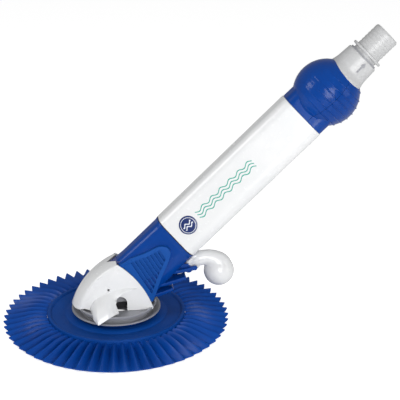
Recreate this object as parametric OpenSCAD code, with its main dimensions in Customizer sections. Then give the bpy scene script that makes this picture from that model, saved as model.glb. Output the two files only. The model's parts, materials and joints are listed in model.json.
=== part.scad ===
// Suction pool cleaner: dolphin shaped head on a swivelling foot, pleated skirt,
// tilted keystone tube, ribbed ball and a swivelling hose spigot.
// Origin on the foot axis at the floor, +Z up, the tube leans towards +X.

/* [Skirt] */
// Outer radius at the pleat ridges
skirt_r = 160; // [150:1:170]
// Radius where the pleats start
pleat_r = 98; // [94:1:104]
// Number of pleats
pleat_count = 60; // [40:1:72]
// Height of the flat inner disc
disc_z = 16; // [16:0.5:17]
// Rubber thickness
rubber_t = 2; // [1.6:0.1:2.4]

/* [Foot] */
// Radius of the lower footing ring
foot_r = 63; // [62:0.5:66]
// Height of the lower footing ring's lip
foot_z = 24.5; // [24:0.5:26]
// Radius of the upper swivel plate
plate_r = 57.5; // [56:0.5:58]
// Radius of the foot neck that the skirt turns on
neck_r = 44; // [43:0.5:45]
// Bore of the foot neck
foot_bore_r = 34.5; // [34:0.5:36]
// Radius of the suction inlet
inlet_r = 30; // [28:0.5:31]

/* [Head] */
// Height of the plate that the head stands on
head_z = 29.8; // [29.6:0.1:30.2]
// Wall of the plastic shells
shell_t = 2.6; // [2:0.2:3]
// Distance from the hammer pin to the foot axis, towards the nose
pin_x = 12; // [10:1:14]
// Height of the hammer pin
pin_z = 60; // [58:1:62]
// Hammer pin radius
pin_r = 2.5; // [2:0.25:3]

/* [Tube] */
// Angle of the tube above the floor
tube_tilt = 44; // [42:0.5:46]
// Height at which the tube axis crosses the foot axis
axis_z = 42.4; // [40:0.2:45]
// Distance along the axis to the lip of the shroud
lip_s = 121; // [118:1:124]
// Distance along the axis to the ball's collar
collar_s = 365; // [350:1:380]
// Wall of the white tube
tube_t = 2.6; // [2:0.2:3]
// Corner radius of the tube's keystone section
corner_r = 16; // [14:0.5:18]
// Radius of each flow tube inside the white tube
flow_r = 10.5; // [10:0.25:10.5]

/* [Ball and hose] */
// Ball radius
ball_r = 45; // [43:0.5:47]
// Distance from the collar to the ball's centre
ball_off = 47; // [45:0.5:49]
// Hose spigot radius
spigot_r = 19; // [18.5:0.5:19.5]
// Free length of the hose spigot
spigot_len = 38; // [34:1:42]
// Bore of the hose spigot
spigot_bore_r = 15.5; // [14:0.5:16]
// Number of grip ribs on the ball
ball_ribs = 8; // [5:1:9]

/* [Float] */
// Radius of the float bulb
bulb_r = 20; // [18:0.5:21]
// Radius of the float's pivot pin
float_pin_r = 2; // [1.5:0.25:2.5]

/* [Hidden] */
$fn = 96;
eps = 0.01;
gap = 0.3;                       // air between neighbouring pieces
fit = 0.05;                      // radial clearance of a running pin
far = 400;                       // size of the cutting blocks

// Skirt
valley_r = skirt_r - 8;          // the valleys end short of the ridges
hub_r = 52;                      // rigid hub ring inside the rubber disc
bead_h = 2.5;                    // raised bead between the disc and the pleats
ridge_rise = 1.5;                // ridges rise a little before they fall
ridge_tip_z = 9.5;
valley_in_z = 12.5;

// Foot stack, from the floor up
pad_h = 5;
base_t = 3.5;
hub_z = pad_h + base_t + 0.8;
dish_z = 17;
deck_z = 22;
plate_z = 27;
plate_t = head_z - plate_z - gap;
hub_tube_r = foot_bore_r - 0.5;

// Head outline: a front arc and a rear arc in the X-Z plane
front_c = [39.5, 7];
front_r = 97;
rear_c = [-67, -5.5];
rear_r = 121.5;
edge_r = 6;
crown_a = 115;
chin_a = 165;

// Throat block
throat_x = [-31, 33];
throat_y = 17.3;
throat_top = 70;
chamber_x = [-27, 12];
chamber_y = 13.5;
chamber_top = 67;

// Tube stations along the axis
ball_s = collar_s + ball_off;
shoulder_s = ball_s + 66;
flange_s = shoulder_s + 7;
spigot_s = flange_s + 2.2;
flow_y = flow_r + 0.3;
duct_r = 5.5;                    // bore of each duct in the throat block
duct_s = 38;
flow_x = 4;
flow_s = [78, 392];
neck_r0 = 26;
neck_r1 = 24.4;
neck_s = ball_s + 30;

// Keystone section: corner centres, x away from the top ridge
low_c = [14, 19.5];
top_c = [-22, 5];
side_a = atan2(low_c.y - top_c.y, low_c.x - top_c.x);
corner_steps = 8;

// Badge on each side face of the tube, just above the lip
badge_r = 13;
badge_off = 28;
badge_drop = 1.8;

// Side pads: the plane that their outer faces lie in
pad_lean = 13;
pad_y = 16.5;
slot_count = 8;
slot_pitch = 6.1;
slot_w = 4.4;

// White rail behind the louvres: its distance below the tube axis
rail_x = 41.5;
rail_t = 6;
rail_w = 10;
rail_s = [42, 88];

// Float
float_pivot = [103, 79];
bulb_c = [148, 68];
arm_points = [[118, 88, 7.5], [136, 90, 9], [150, 80, 16.5]];  // X, Z and radius

// ---- shared shapes -------------------------------------------------------

// A ring about Z between two radii and two heights
module ring(r_in, r_out, z0, z1) {
    rotate_extrude() translate([r_in, z0]) square([r_out - r_in, z1 - z0]);
}

// Places children on the tube axis, s from the foot axis, local X downwards
module along(s) {
    translate([0, 0, axis_z]) rotate([0, 90 - tube_tilt, 0]) translate([0, 0, s]) children();
}

// Points of an arc about c
function arc(c, r, a0, a1, n) =
    [for (i = [0:n]) c + r * [cos(a0 + (a1 - a0) * i / n), sin(a0 + (a1 - a0) * i / n)]];

// Keystone outline, grown or shrunk by g
function keystone_points(g) = let (r = corner_r + g, a = 90 + side_a) concat(
    arc(low_c, r, 0, a, corner_steps),
    arc(top_c, r, a, 180, corner_steps),
    arc([top_c.x, -top_c.y], r, 180, 360 - a, corner_steps),
    arc([low_c.x, -low_c.y], r, 360 - a, 360, corner_steps));

module keystone(g = 0) {
    polygon(keystone_points(g));
}

// Hollow keystone sleeve of length h
module keystone_sleeve(h, g_out, g_in) {
    linear_extrude(h) difference() {
        keystone(g_out);
        keystone(g_in);
    }
}

// Stands an X-Z outline up, w wide and centred on the symmetry plane
module upright(w) {
    translate([0, w / 2, 0]) rotate([90, 0, 0]) linear_extrude(w) children();
}

// Keeps the half at negative Y (side = -1) or positive Y (side = 1)
module half(side) {
    intersection() {
        children();
        translate([-far, side > 0 ? 0 : -far, -far]) cube([2 * far, far, 2 * far]);
    }
}

// ---- foot ----------------------------------------------------------------

// Wear pad that stands on the floor, with shallow radial grooves
module foot_pad() {
    groove_w = 3;
    sole_r = 57;
    rim_w = 5;
    color("#20242c") difference() {
        ring(38, sole_r, 0, pad_h);
        for (a = [0:30:330])
            rotate(a) translate([30, -groove_w / 2, -1])
                cube([sole_r - rim_w - 30, groove_w, 2.2]);
    }
}

// Rigid base flange with the neck that carries the skirt and the head
module foot_base() {
    color("#c9ccd0") rotate_extrude() polygon([
        [foot_bore_r, pad_h], [60, pad_h], [60, pad_h + base_t],
        [neck_r, pad_h + base_t], [neck_r, deck_z], [foot_bore_r, deck_z]]);
}

// Lower footing ring: deck on the neck and a saucer that rises to a thin lip
module foot_ring() {
    lip_w = 2.2;
    lip_h = 1.6;
    dish_t = 2;
    color("#d6d8da") difference() {
        rotate_extrude() polygon([
            [foot_bore_r + 1.5, deck_z], [neck_r + 2, deck_z], [neck_r + 2, dish_z],
            [neck_r + 4, dish_z], [foot_r, foot_z - lip_h], [foot_r, foot_z],
            [foot_r - lip_w, foot_z], [neck_r + 6, dish_z + dish_t],
            [neck_r + 4, dish_z + dish_t],
            [neck_r + 4, deck_z + dish_t], [foot_bore_r + 1.5, deck_z + dish_t]]);
        screw_places(40) cylinder(r = 1.6 + gap / 2, h = far, center = true);
    }
}

module screw_places(r) {
    for (a = [45:90:315]) rotate(a) translate([r, 0, 0]) children();
}

// Four screws that clamp the footing ring on the neck
module foot_screws() {
    color("#b8bcc2") screw_places(40) translate([0, 0, deck_z]) {
        cylinder(r = 1.6, h = 2 + eps, $fn = 32);
        translate([0, 0, 2]) cylinder(r = 3, h = 1.6, $fn = 32);
    }
}

// ---- skirt ---------------------------------------------------------------

// Rigid ring that runs on the foot neck
module skirt_hub() {
    color("#1f49b8") rotate_extrude() polygon([
        [neck_r + 0.5, hub_z], [hub_r + 6, hub_z], [hub_r + 6, hub_z + 2],
        [hub_r, hub_z + 2], [hub_r, disc_z + 0.3], [neck_r + 0.5, disc_z + 0.3]]);
}

// Flat rubber disc with the raised bead at its edge
module skirt_disc() {
    bead = [pleat_r - 5.5, pleat_r];
    color("#1b43b0") rotate_extrude() polygon([
        [hub_r, hub_z + 2], [bead[1], hub_z + 2], [bead[1], disc_z + bead_h - 1],
        [bead[1] - 1, disc_z + bead_h], [bead[0] + 1.5, disc_z + bead_h], [bead[0], disc_z],
        [hub_r, disc_z]]);
}

// Height of a ridge line and of a valley line at t from 0 (inside) to 1 (rim)
function ridge_z(t) = disc_z + 2 * ridge_rise * sin(180 * min(1, t * 1.6)) * (1 - t)
    - (disc_z - ridge_tip_z) * t * t;
function valley_z(t) = rubber_t + (valley_in_z - rubber_t) * (1 - t) * (1 - 0.25 * t);
function fold_point(i, t, up) = let (ridge = i % 2 == 0, a = 180 * i / pleat_count,
    r = pleat_r + gap + t * ((ridge ? skirt_r : valley_r) - pleat_r - gap),
    z = (ridge ? ridge_z(t) : valley_z(t)) - (up ? 0 : rubber_t))
    [r * cos(a), r * sin(a), z];

// Pleated rubber annulus: alternating ridge and valley lines, one closed sheet
module skirt_pleats() {
    rings = 5;
    lines = 2 * pleat_count;
    per_line = 2 * rings;
    points = [for (i = [0:lines - 1]) each concat(
        [for (k = [0:rings - 1]) fold_point(i, k / (rings - 1), true)],
        [for (k = [rings - 1:-1:0]) fold_point(i, k / (rings - 1), false)])];
    faces = [for (i = [0:lines - 1], k = [0:per_line - 1])
        let (j = (i + 1) % lines, n = (k + 1) % per_line,
            a = i * per_line + k, b = i * per_line + n,
            c = j * per_line + n, d = j * per_line + k)
        each [[a, c, b], [a, d, c]]];
    color("#1d46b6") polyhedron(points, faces);
}

// ---- head base -----------------------------------------------------------

// Upper plate: hub tube, deck, raised rim and an upturned tab at the back
module swivel_plate() {
    rim_w = 2.2;
    rim_h = 6;
    rim_under = 2.5;
    tab_half_a = 16;
    color("#dcdee0") {
        difference() {
            rotate_extrude() polygon([
                [inlet_r, pad_h - 0.5], [hub_tube_r, pad_h - 0.5], [hub_tube_r, plate_z],
                [plate_r - rim_under, plate_z], [plate_r, plate_z + rim_h - 1.5],
                [plate_r, plate_z + rim_h], [plate_r - rim_w, plate_z + rim_h],
                [plate_r - rim_w, plate_z + plate_t], [inlet_r, plate_z + plate_t]]);
            shell_screw_places() cylinder(r = 1.6 + gap / 2, h = far, center = true, $fn = 32);
        }
        rotate(-tab_half_a) rotate_extrude(angle = 2 * tab_half_a)
            translate([plate_r - rim_w + gap, plate_z + 4]) square([rim_w - 2 * gap, 7]);
    }
}

// Ring that keeps the plate's hub tube in the foot
module swivel_clip() {
    color("#9aa0a8") ring(inlet_r + 0.5, foot_bore_r + 2, 2.4, pad_h - 0.5);
}

module shell_screw_places() {
    for (p = [[-39, 20], [43, 24]], side = [-1, 1]) translate([p.x, side * p.y, 0]) children();
}

// Four screws from under the plate into the head shells
module shell_screws() {
    color("#b8bcc2") shell_screw_places() {
        translate([0, 0, plate_z - 1.5]) cylinder(r = 3, h = 1.5, $fn = 32);
        translate([0, 0, plate_z - eps]) cylinder(r = 1.6, h = 11, $fn = 32);
    }
}

// ---- throat and hammer ---------------------------------------------------

// Straight box round the foot of the throat block, grown by g
module throat_box(g, z0, z1) {
    translate([throat_x[0] - g, -throat_y - g, z0])
        cube([throat_x[1] - throat_x[0] + 2 * g, 2 * (throat_y + g), z1 - z0]);
}

// Black rubber collar round the foot of the throat block
module intake_seal() {
    color("#17181c") difference() {
        throat_box(3, head_z - gap, head_z + 8);
        throat_box(0.1, 0, far);
    }
}

// Throat: inlet below, hammer chamber, and two ducts towards the flow tubes
module throat_block() {
    color("#c4c7cd") difference() {
        union() {
            upright(2 * throat_y) polygon([
                [throat_x[0], head_z - gap], [throat_x[1], head_z - gap],
                [throat_x[1], 52], [14, throat_top], [-14, throat_top], [throat_x[0], 54]]);
            along(duct_s) translate([flow_x - 8, -throat_y, 0])
                cube([16, 2 * throat_y, flow_s[0] - duct_s - gap]);
        }
        upright(2 * chamber_y) polygon([
            [chamber_x[0], 0], [chamber_x[1], 0], [chamber_x[1], chamber_top],
            [-16, chamber_top], [chamber_x[0], 55]]);
        for (y = [-flow_y, flow_y]) along(20) translate([flow_x, y, 0])
            cylinder(r = duct_r, h = far / 2);
        translate([-pin_x, 0, pin_z]) rotate([90, 0, 0])
            cylinder(r = 5, h = far, center = true, $fn = 48);
    }
}

// Steel weight in the nose
module ballast_weight() {
    color("#8f959d") translate([-48.5, -13, head_z]) cube([12.8, 26, 14]);
}

// Swinging hammer: hub on the pin and a flat beater below it
module hammer() {
    color("#2c5fc4") difference() {
        union() {
            translate([-pin_x, 0, pin_z]) rotate([90, 0, 0])
                cylinder(r = 6.5, h = 26, center = true);
            translate([-pin_x - 4.5, -13, pin_z - 26]) cube([9, 26, 24]);
        }
        translate([-pin_x, 0, pin_z]) rotate([90, 0, 0])
            cylinder(r = pin_r + fit, h = far, center = true);
    }
}

// Rubber faces on the front and the back of the beater
module hammer_pads() {
    pad = 2;
    color("#1a1b1f") for (x = [-4.5 - pad, 4.5])
        translate([x - pin_x, -12, pin_z - 25]) cube([pad, 24, 17]);
}

// Pin that the hammer swings on
module hammer_pin() {
    color("#d9dcdf") translate([-pin_x, 0, pin_z]) rotate([90, 0, 0])
        cylinder(r = pin_r, h = 2 * throat_y + 3, center = true);
}

// Bushes in the two cheeks of the throat block
module pin_bushes() {
    color("#e8e6dc") for (side = [-1, 1])
        translate([-pin_x, side * (throat_y + chamber_y) / 2, pin_z]) rotate([90, 0, 0])
            difference() {
                cylinder(r = 5, h = throat_y - chamber_y, center = true, $fn = 48);
                cylinder(r = pin_r + fit, h = far, center = true);
            }
}

// ---- head shells ---------------------------------------------------------

// Half width of the front arc's edge and the bulge between its edges, crown to chin
function edge_half(f) = 22.5 + 2.5 * f;
function edge_bulge(f) = 2 + 4 * f;

// Solid dolphin form, shrunk by t
module head_form(t = 0) {
    steps = 5;
    hull() {
        for (i = [0:steps], side = [-1, 1]) let (f = i / steps,
            a = crown_a + (chin_a - crown_a) * f, r = front_r - edge_r)
            translate([front_c.x + r * cos(a), side * (edge_half(f) - edge_r),
                front_c.y + r * sin(a)]) sphere(r = edge_r - t, $fn = 20);
        for (i = [0:steps]) let (f = i / steps, a = crown_a + (chin_a - crown_a) * f,
            r = front_r + edge_bulge(f) - edge_r)
            translate([front_c.x + r * cos(a), 0, front_c.y + r * sin(a)])
                sphere(r = edge_r - t, $fn = 20);
        for (p = [[-44, 19, 28], [-12, 24, 28], [44, 24.5, 28], [-8, 23.5, 56], [30, 23, 52]],
            side = [-1, 1])
            translate([p.x, side * p.y, p.z]) sphere(r = edge_r - t, $fn = 20);
    }
}

// Everything in front of the rear arc, pulled in by t
module front_of_rear_arc(t = 0) {
    translate([rear_c.x, 0, rear_c.y]) rotate([90, 0, 0])
        cylinder(r = rear_r - t, h = far, center = true, $fn = 180);
}

// Arched side window
module side_window() {
    w = 19;
    h = 21;
    translate([4, 0, head_z]) upright(far) union() {
        translate([-w / 2, -10]) square([w, 10 + h - w / 2]);
        translate([0, h - w / 2]) circle(r = w / 2, $fn = 48);
    }
}

// V-shaped notch in the crown for the shroud's spine
module crown_notch(t = 0) {
    tip_x = -12;
    end_x = 20;
    end_half = 23.7;
    translate([0, 0, 80]) linear_extrude(40)
        polygon([[tip_x + t, 0], [end_x, t - end_half], [end_x, end_half - t]]);
}

// Flipper that shields the side window: its crest, its front edge and its two tips
module flipper(side) {
    places = [[25, 28, 59], [-12, 28, 56], [-30, 34, 43], [-31, 60, 30.5], [-29, 63, 28],
        [1, 41, 34], [-8, 28, 48]];
    hull() for (p = places) translate([p.x, side * p.y, p.z]) sphere(r = 2, $fn = 16);
}

module head_shell(side) {
    rim_in = plate_r - 2.2 - gap;
    difference() {
        union() {
            difference() {
                union() {
                    half(side) head_form();
                    flipper(side);
                }
                hull() for (x = [0, 40]) translate([x, 0, 0]) head_form(shell_t);
            }
            shell_screw_places() translate([0, 0, head_z]) cylinder(r = 4, h = 12, $fn = 32);
        }
        shell_screw_places() cylinder(r = 1.6, h = 39, $fn = 32);
        ring(rim_in, plate_r + gap, 0, plate_z + 6 + gap);
        ring(plate_r, far, 0, foot_z + 1);
        translate([0, 0, head_z - far]) cube([2 * far, 2 * far, 2 * far], center = true);
        half(side) side_window();
        crown_notch();
        difference() {
            translate([-far, -far, 0]) cube(2 * far);
            front_of_rear_arc();
        }
        translate([-pin_x, 0, pin_z]) rotate([90, 0, 0])
            cylinder(r = 1.6, h = far, center = true, $fn = 32);
        translate([-far, side > 0 ? -far : 0, 0]) cube([2 * far, far, far]);
    }
}

module head_shell_left() {
    color("#f4f5f6") head_shell(-1);
}

module head_shell_right() {
    color("#f4f5f6") head_shell(1);
}

// ---- shroud --------------------------------------------------------------

// Solid shroud form, shrunk by t, from the head up to the tube's lip
module shroud_form(t = 0) {
    hull() {
        along(lip_s - 8) linear_extrude(8) keystone(-1 - t);
        for (p = [[6, 9, 92], [20, 16, 68], [42, 20, 40], [56, 20, 44], [48, 20, 60]],
            side = [-1, 1])
            translate([p.x, side * p.y, p.z]) sphere(r = 5 - t, $fn = 20);
    }
}

// Blue shroud: shell behind the rear arc, spigot for the tube, spine in the notch
module shroud() {
    seat = 20;
    color("#1c4cc0") {
        difference() {
            shroud_form();
            shroud_form(shell_t);
            front_of_rear_arc(-gap);
            translate([0, 0, head_z - far + 3]) cube(2 * far, center = true);
            along(lip_s - 3) linear_extrude(far / 4) keystone(-1 - shell_t);
            rear_slot();
        }
        spine();
        along(lip_s - 6) keystone_sleeve(6 + seat, -tube_t - gap, -tube_t - gap - 2.2);
    }
}

// Opening in the shroud's back behind the rail
module rear_slot() {
    along(20) translate([20, -7, 0]) cube([40, 14, 50]);
}

// Wedge that fills the notch in the crown, with a root under the shroud's ridge
module spine() {
    difference() {
        intersection() {
            crown_notch(0.4);
            head_form(0.8);
        }
        head_form(5);
    }
    translate([3, -5, 86]) cube([9, 10, 11]);
}

// Outline of a side pad, seen from the side
module pad_outline() {
    difference() {
        polygon(concat(
            [[0, 99], [20, 104], [42, 114], [60, 124]],
            arc([67, 116], 9, 100, 10, 6),
            [[70, 100], [59, 74], [49, 42], [40, 40]]));
        translate(rear_c) circle(r = rear_r - 4, $fn = 180);
    }
}

module pad_slots() {
    along(0) for (i = [0:slot_count - 1]) let (s = 58 + i * slot_pitch)
        translate([-30 + i * 2.2, -far / 2, s]) cube([47 - i * 5.2, far, slot_w]);
}

// Slotted side pad on the shroud
module side_pad(side) {
    depth = 9;
    floor_t = 1;
    color("#2350bd") difference() {
        scale([1, side, 1]) rotate([0, 0, pad_lean]) difference() {
            translate([0, pad_y, 0]) rotate([90, 0, 0]) linear_extrude(depth) pad_outline();
            translate([0, pad_y + floor_t, 0]) rotate([90, 0, 0]) linear_extrude(floor_t + 1.4)
                intersection() {
                    offset(delta = -5.5) pad_outline();
                    projection() rotate([-90, 0, 0]) pad_slots();
                }
        }
        shroud_form(-0.15);
        front_of_rear_arc(-0.5);
    }
}

module side_pad_left() {
    side_pad(-1);
}

module side_pad_right() {
    side_pad(1);
}

// One louvre of the rear bumper: a slab w wide from a to b with a rolled tip
module louvre(a, b, w, tip_r) {
    t = 3.6;
    roll = b + [-tip_r, tip_r];
    upright(w) union() {
        polygon([a, b - [tip_r, 0], b - [tip_r, -t], a + [0, t]]);
        translate(roll) circle(r = tip_r, $fn = 32);
    }
}

// Rear bumper: three louvres behind the shroud, cut for the rail and the float's arm
module rear_fins() {
    arm_w = 22;
    color("#1a47b4") difference() {
        union() {
            louvre([58, 79], [114, 86], 60, 3.4);
            louvre([52, 61], [99, 70], 58, 2.6);
            louvre([52, 47.4], [80, 56], 52, 2.2);
        }
        shroud_form(-gap);
        along(0) translate([rail_x - gap, -rail_w / 2 - gap, 0])
            cube([rail_t + 2 * gap, rail_w + 2 * gap, far]);
        translate([86, -arm_w / 2 - gap, 70]) cube([far, arm_w + 2 * gap, 44]);
        front_of_rear_arc(-gap);
        ring(plate_r - 4, plate_r + 2, 0, plate_z + 13);
    }
}

// White rail behind the louvres
module back_rail() {
    color("#eef0f1") along(rail_s[0])
        translate([rail_x, -rail_w / 2, 0]) cube([rail_t, rail_w, rail_s[1] - rail_s[0]]);
}

// ---- tube ----------------------------------------------------------------

// Rubber ring between the shroud's lip and the tube
module tube_gasket() {
    color("#15161a") along(lip_s) keystone_sleeve(1.2, -0.8, -tube_t - gap + 0.05);
}

// White keystone tube
module outer_tube() {
    color("#f6f7f8") along(lip_s + 1.2)
        keystone_sleeve(collar_s - lip_s - 1.4, 0, -tube_t);
}

// Places children on a side face of the tube, local Z outwards
module on_side_face(side, s) {
    mid = (low_c + top_c) / 2;
    along(s) translate([mid.x, side * mid.y, 0]) rotate([0, 0, side * (90 + side_a)])
        translate([corner_r, 0, 0]) rotate([0, 90, 0]) children();
}

module badge(side) {
    color("#153a9c") on_side_face(side, lip_s + badge_off)
        translate([0, -side * badge_drop, gap / 3]) cylinder(r = badge_r, h = 0.9, $fn = 64);
}

module badge_left() {
    badge(-1);
}

module badge_right() {
    badge(1);
}

// Flow tube from the throat to the manifold in the ball
module flow_tube(side) {
    color("#e4e6e8") along(flow_s[0]) translate([flow_x, side * flow_y, 0]) difference() {
        cylinder(r = flow_r, h = flow_s[1] - flow_s[0]);
        translate([0, 0, -1]) cylinder(r = flow_r - 2, h = far);
    }
}

module flow_tube_left() {
    flow_tube(-1);
}

module flow_tube_right() {
    flow_tube(1);
}

// Foam block that lifts the upper end of the tube in water
module buoyancy_foam() {
    color("#f0e6c8") along(290) linear_extrude(60) difference() {
        keystone(-tube_t - 0.6);
        for (y = [-flow_y, flow_y]) translate([flow_x, y]) circle(r = flow_r + 0.5);
    }
}

// ---- ball and hose swivel ------------------------------------------------

// Manifold that joins the flow tubes to the neck
module top_manifold() {
    color("#dfe1e3") along(flow_s[1]) difference() {
        translate([2, 0, 0]) cylinder(r = 27, h = 28);
        translate([2, 0, 8]) cylinder(r = 24, h = far);
        for (y = [-flow_y, flow_y]) translate([flow_x, y, -1]) cylinder(r = flow_r - 2, h = 20);
    }
}

// Solid ball with its collar, shrunk by t, in the tube's frame
module ball_form(t) {
    sphere(r = ball_r - t);
    translate([0, 0, -ball_off]) linear_extrude(ball_off - 14) keystone(-1 - t);
}

module ball_shell(side) {
    wall = 3;
    rib_pitch = 9.4;
    along(ball_s) difference() {
        union() {
            ball_form(0);
            for (i = [0:ball_ribs - 1])
                intersection() {
                    sphere(r = ball_r + 0.9);
                    translate([-far / 2, -far / 2, (i - (ball_ribs - 1) / 2) * rib_pitch - 0.8])
                        cube([far, far, 1.6]);
                }
        }
        sphere(r = ball_r - wall);
        translate([0, 0, -ball_off - 1]) linear_extrude(ball_off) keystone(-1 - wall);
        cylinder(r = neck_r0 + gap, h = far);
        translate([side > 0 ? 0 : -far, -far / 2, -far / 2]) cube([far, far, far]);
    }
}

module ball_shell_upper() {
    color("#1b4abd") ball_shell(1);
}

module ball_shell_lower() {
    color("#1b4abd") ball_shell(-1);
}

// White neck: flange inside the ball, cone outside, seat for the spigot
module neck() {
    foot = neck_s - ball_s;
    top = shoulder_s - ball_s;
    flange_out = sqrt(pow(ball_r - 3 - gap, 2) - foot * foot);
    color("#f1f2f3") along(ball_s) rotate_extrude() polygon([
        [22, foot - 4], [flange_out, foot - 4], [flange_out, foot - 1],
        [neck_r0, foot - 1], [neck_r0, foot], [neck_r1, top - 2], [neck_r1 - 2, top],
        [spigot_r + gap, top], [spigot_r + gap, top - 12], [22, top - 14]]);
}

// Lip seal in the neck's seat
module neck_seal() {
    color("#15161a") along(shoulder_s) ring(spigot_r + gap, neck_r1 - 2.4, 0.05, 2.2);
}

// Swivelling spigot with its flange ring
module hose_spigot() {
    color("#f3f4f5") along(0) difference() {
        union() {
            translate([0, 0, shoulder_s - 16]) cylinder(r = spigot_r - 0.2, h = 23);
            translate([0, 0, flange_s - 1]) cylinder(r = 24.2, h = 2.6);
            translate([0, 0, flange_s]) cylinder(r = spigot_r, h = spigot_len + 1);
        }
        translate([0, 0, flange_s - 60]) cylinder(r = spigot_bore_r, h = far / 2);
    }
}

// Snap ring that holds the spigot in the neck
module spigot_clip() {
    color("#c8ccd1") along(shoulder_s - 19) difference() {
        union() {
            cylinder(r = spigot_r + 1.8, h = 2.8);
            cylinder(r = spigot_r - 0.2, h = 3);
        }
        translate([0, 0, -1]) cylinder(r = spigot_bore_r, h = far / 4);
    }
}

// ---- float ---------------------------------------------------------------

// Comma shaped float: an arm that curls into a round bulb, shrunk by t
module float_form(t = 0) {
    translate([bulb_c.x, 0, bulb_c.y]) sphere(r = bulb_r - t, $fn = 48);
    for (i = [0:len(arm_points) - 2]) hull() for (p = [arm_points[i], arm_points[i + 1]])
        translate([p.x, 0, p.y]) scale([1, 1.1, 1]) sphere(r = p.z - t, $fn = 24);
    hull() {
        translate([float_pivot.x, 0, float_pivot.y]) rotate([90, 0, 0])
            cylinder(r = 6 - t, h = 14 - 2 * t, center = true, $fn = 24);
        translate([arm_points[0].x, 0, arm_points[0].y]) scale([1, 1.1, 1])
            sphere(r = arm_points[0].z - t, $fn = 24);
    }
}

module float_shell(side) {
    wall = 2.4;
    color("#f5f6f7") difference() {
        half(side) float_form();
        translate([bulb_c.x, 0, bulb_c.y]) sphere(r = bulb_r - wall, $fn = 48);
        translate([float_pivot.x, 0, float_pivot.y]) rotate([90, 0, 0])
            cylinder(r = float_pin_r + fit, h = far, center = true);
    }
}

module float_shell_left() {
    float_shell(-1);
}

module float_shell_right() {
    float_shell(1);
}

// Pin through the float's arm
module float_pin() {
    color("#c3c7cc") translate([float_pivot.x, 0, float_pivot.y]) rotate([90, 0, 0])
        cylinder(r = float_pin_r, h = 22, center = true);
}

// Two ears under the shroud that carry the float's pin
module float_bracket() {
    ear = 3;
    color("#1a47b4") difference() {
        for (side = [-1, 1]) translate([0, side * (8 + ear / 2), 0]) upright(ear)
            union() {
                translate(float_pivot) circle(r = 5.5, $fn = 48);
                translate(float_pivot + [-16, -1]) square([16, 9]);
            }
        shroud_form(-gap);
        translate([float_pivot.x, 0, float_pivot.y]) rotate([90, 0, 0])
            cylinder(r = float_pin_r, h = far, center = true);
    }
}

// ---- output --------------------------------------------------------------

foot_pad();
foot_base();
foot_ring();
foot_screws();
skirt_hub();
skirt_disc();
skirt_pleats();
swivel_plate();
swivel_clip();
intake_seal();
throat_block();
ballast_weight();
hammer();
hammer_pads();
hammer_pin();
pin_bushes();
head_shell_left();
head_shell_right();
shell_screws();
shroud();
side_pad_left();
side_pad_right();
rear_fins();
back_rail();
tube_gasket();
outer_tube();
badge_left();
badge_right();
flow_tube_left();
flow_tube_right();
buoyancy_foam();
top_manifold();
ball_shell_upper();
ball_shell_lower();
neck();
neck_seal();
hose_spigot();
spigot_clip();
float_shell_left();
float_shell_right();
float_pin();
float_bracket();
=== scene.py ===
import json
import logging
import math
from collections.abc import Callable, Sequence
from dataclasses import dataclass, field
from enum import Enum

import bpy
from mathutils import Matrix, Vector, noise

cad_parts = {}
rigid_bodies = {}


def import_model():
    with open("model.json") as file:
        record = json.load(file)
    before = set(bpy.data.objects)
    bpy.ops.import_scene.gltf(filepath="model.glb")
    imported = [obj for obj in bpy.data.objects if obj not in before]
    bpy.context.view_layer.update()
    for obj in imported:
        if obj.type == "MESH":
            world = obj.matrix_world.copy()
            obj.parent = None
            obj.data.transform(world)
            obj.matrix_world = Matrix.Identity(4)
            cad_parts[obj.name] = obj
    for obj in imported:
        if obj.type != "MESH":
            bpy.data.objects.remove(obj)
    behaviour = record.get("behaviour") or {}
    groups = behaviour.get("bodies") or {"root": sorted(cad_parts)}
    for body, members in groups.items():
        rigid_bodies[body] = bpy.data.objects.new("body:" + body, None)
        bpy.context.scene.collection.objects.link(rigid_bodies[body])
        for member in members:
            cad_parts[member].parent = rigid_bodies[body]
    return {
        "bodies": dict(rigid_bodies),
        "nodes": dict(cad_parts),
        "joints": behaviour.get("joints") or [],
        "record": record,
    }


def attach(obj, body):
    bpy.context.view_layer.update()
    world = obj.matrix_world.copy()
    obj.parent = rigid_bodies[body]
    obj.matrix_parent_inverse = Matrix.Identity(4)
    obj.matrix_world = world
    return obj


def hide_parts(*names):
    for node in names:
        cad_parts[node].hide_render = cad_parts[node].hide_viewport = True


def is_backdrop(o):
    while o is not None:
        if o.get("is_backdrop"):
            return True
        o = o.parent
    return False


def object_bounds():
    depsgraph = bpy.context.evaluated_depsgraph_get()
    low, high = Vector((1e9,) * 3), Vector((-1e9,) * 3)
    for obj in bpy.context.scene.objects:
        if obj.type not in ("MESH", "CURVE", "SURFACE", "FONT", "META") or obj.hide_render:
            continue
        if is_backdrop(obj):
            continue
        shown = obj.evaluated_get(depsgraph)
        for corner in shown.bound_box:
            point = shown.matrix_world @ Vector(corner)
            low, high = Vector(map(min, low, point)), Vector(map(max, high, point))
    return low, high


log = logging.getLogger("pool_cleaner")
MM = 0.001

# Rear arc of the head: its centre in X and Z, and its radius at the head, pads and shroud. In mm.
REAR_ARC = (-67.0, -5.5)
REAR_ARC_HEAD = 123.0
REAR_ARC_PAD = 123.6
REAR_ARC_SHROUD = 121.9
# Arc of the head's crown, which the spine in its notch follows: centre in X and Z, and radius.
CROWN_ARC = (39.5, 7.0)
CROWN_RADIUS = 97.0


class Side(Enum):
    """Which side of the symmetry plane a piece is on; the value is the sign of Y."""

    LEFT = -1
    RIGHT = 1


class Shading(Enum):
    """How a finished mesh is shaded; the value is the angle that still counts as smooth."""

    FLAT = 0.0
    CRISP = 28.0
    SOFT = 45.0
    ROUND = 75.0


# ---- frame of the tube ---------------------------------------------------


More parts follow.
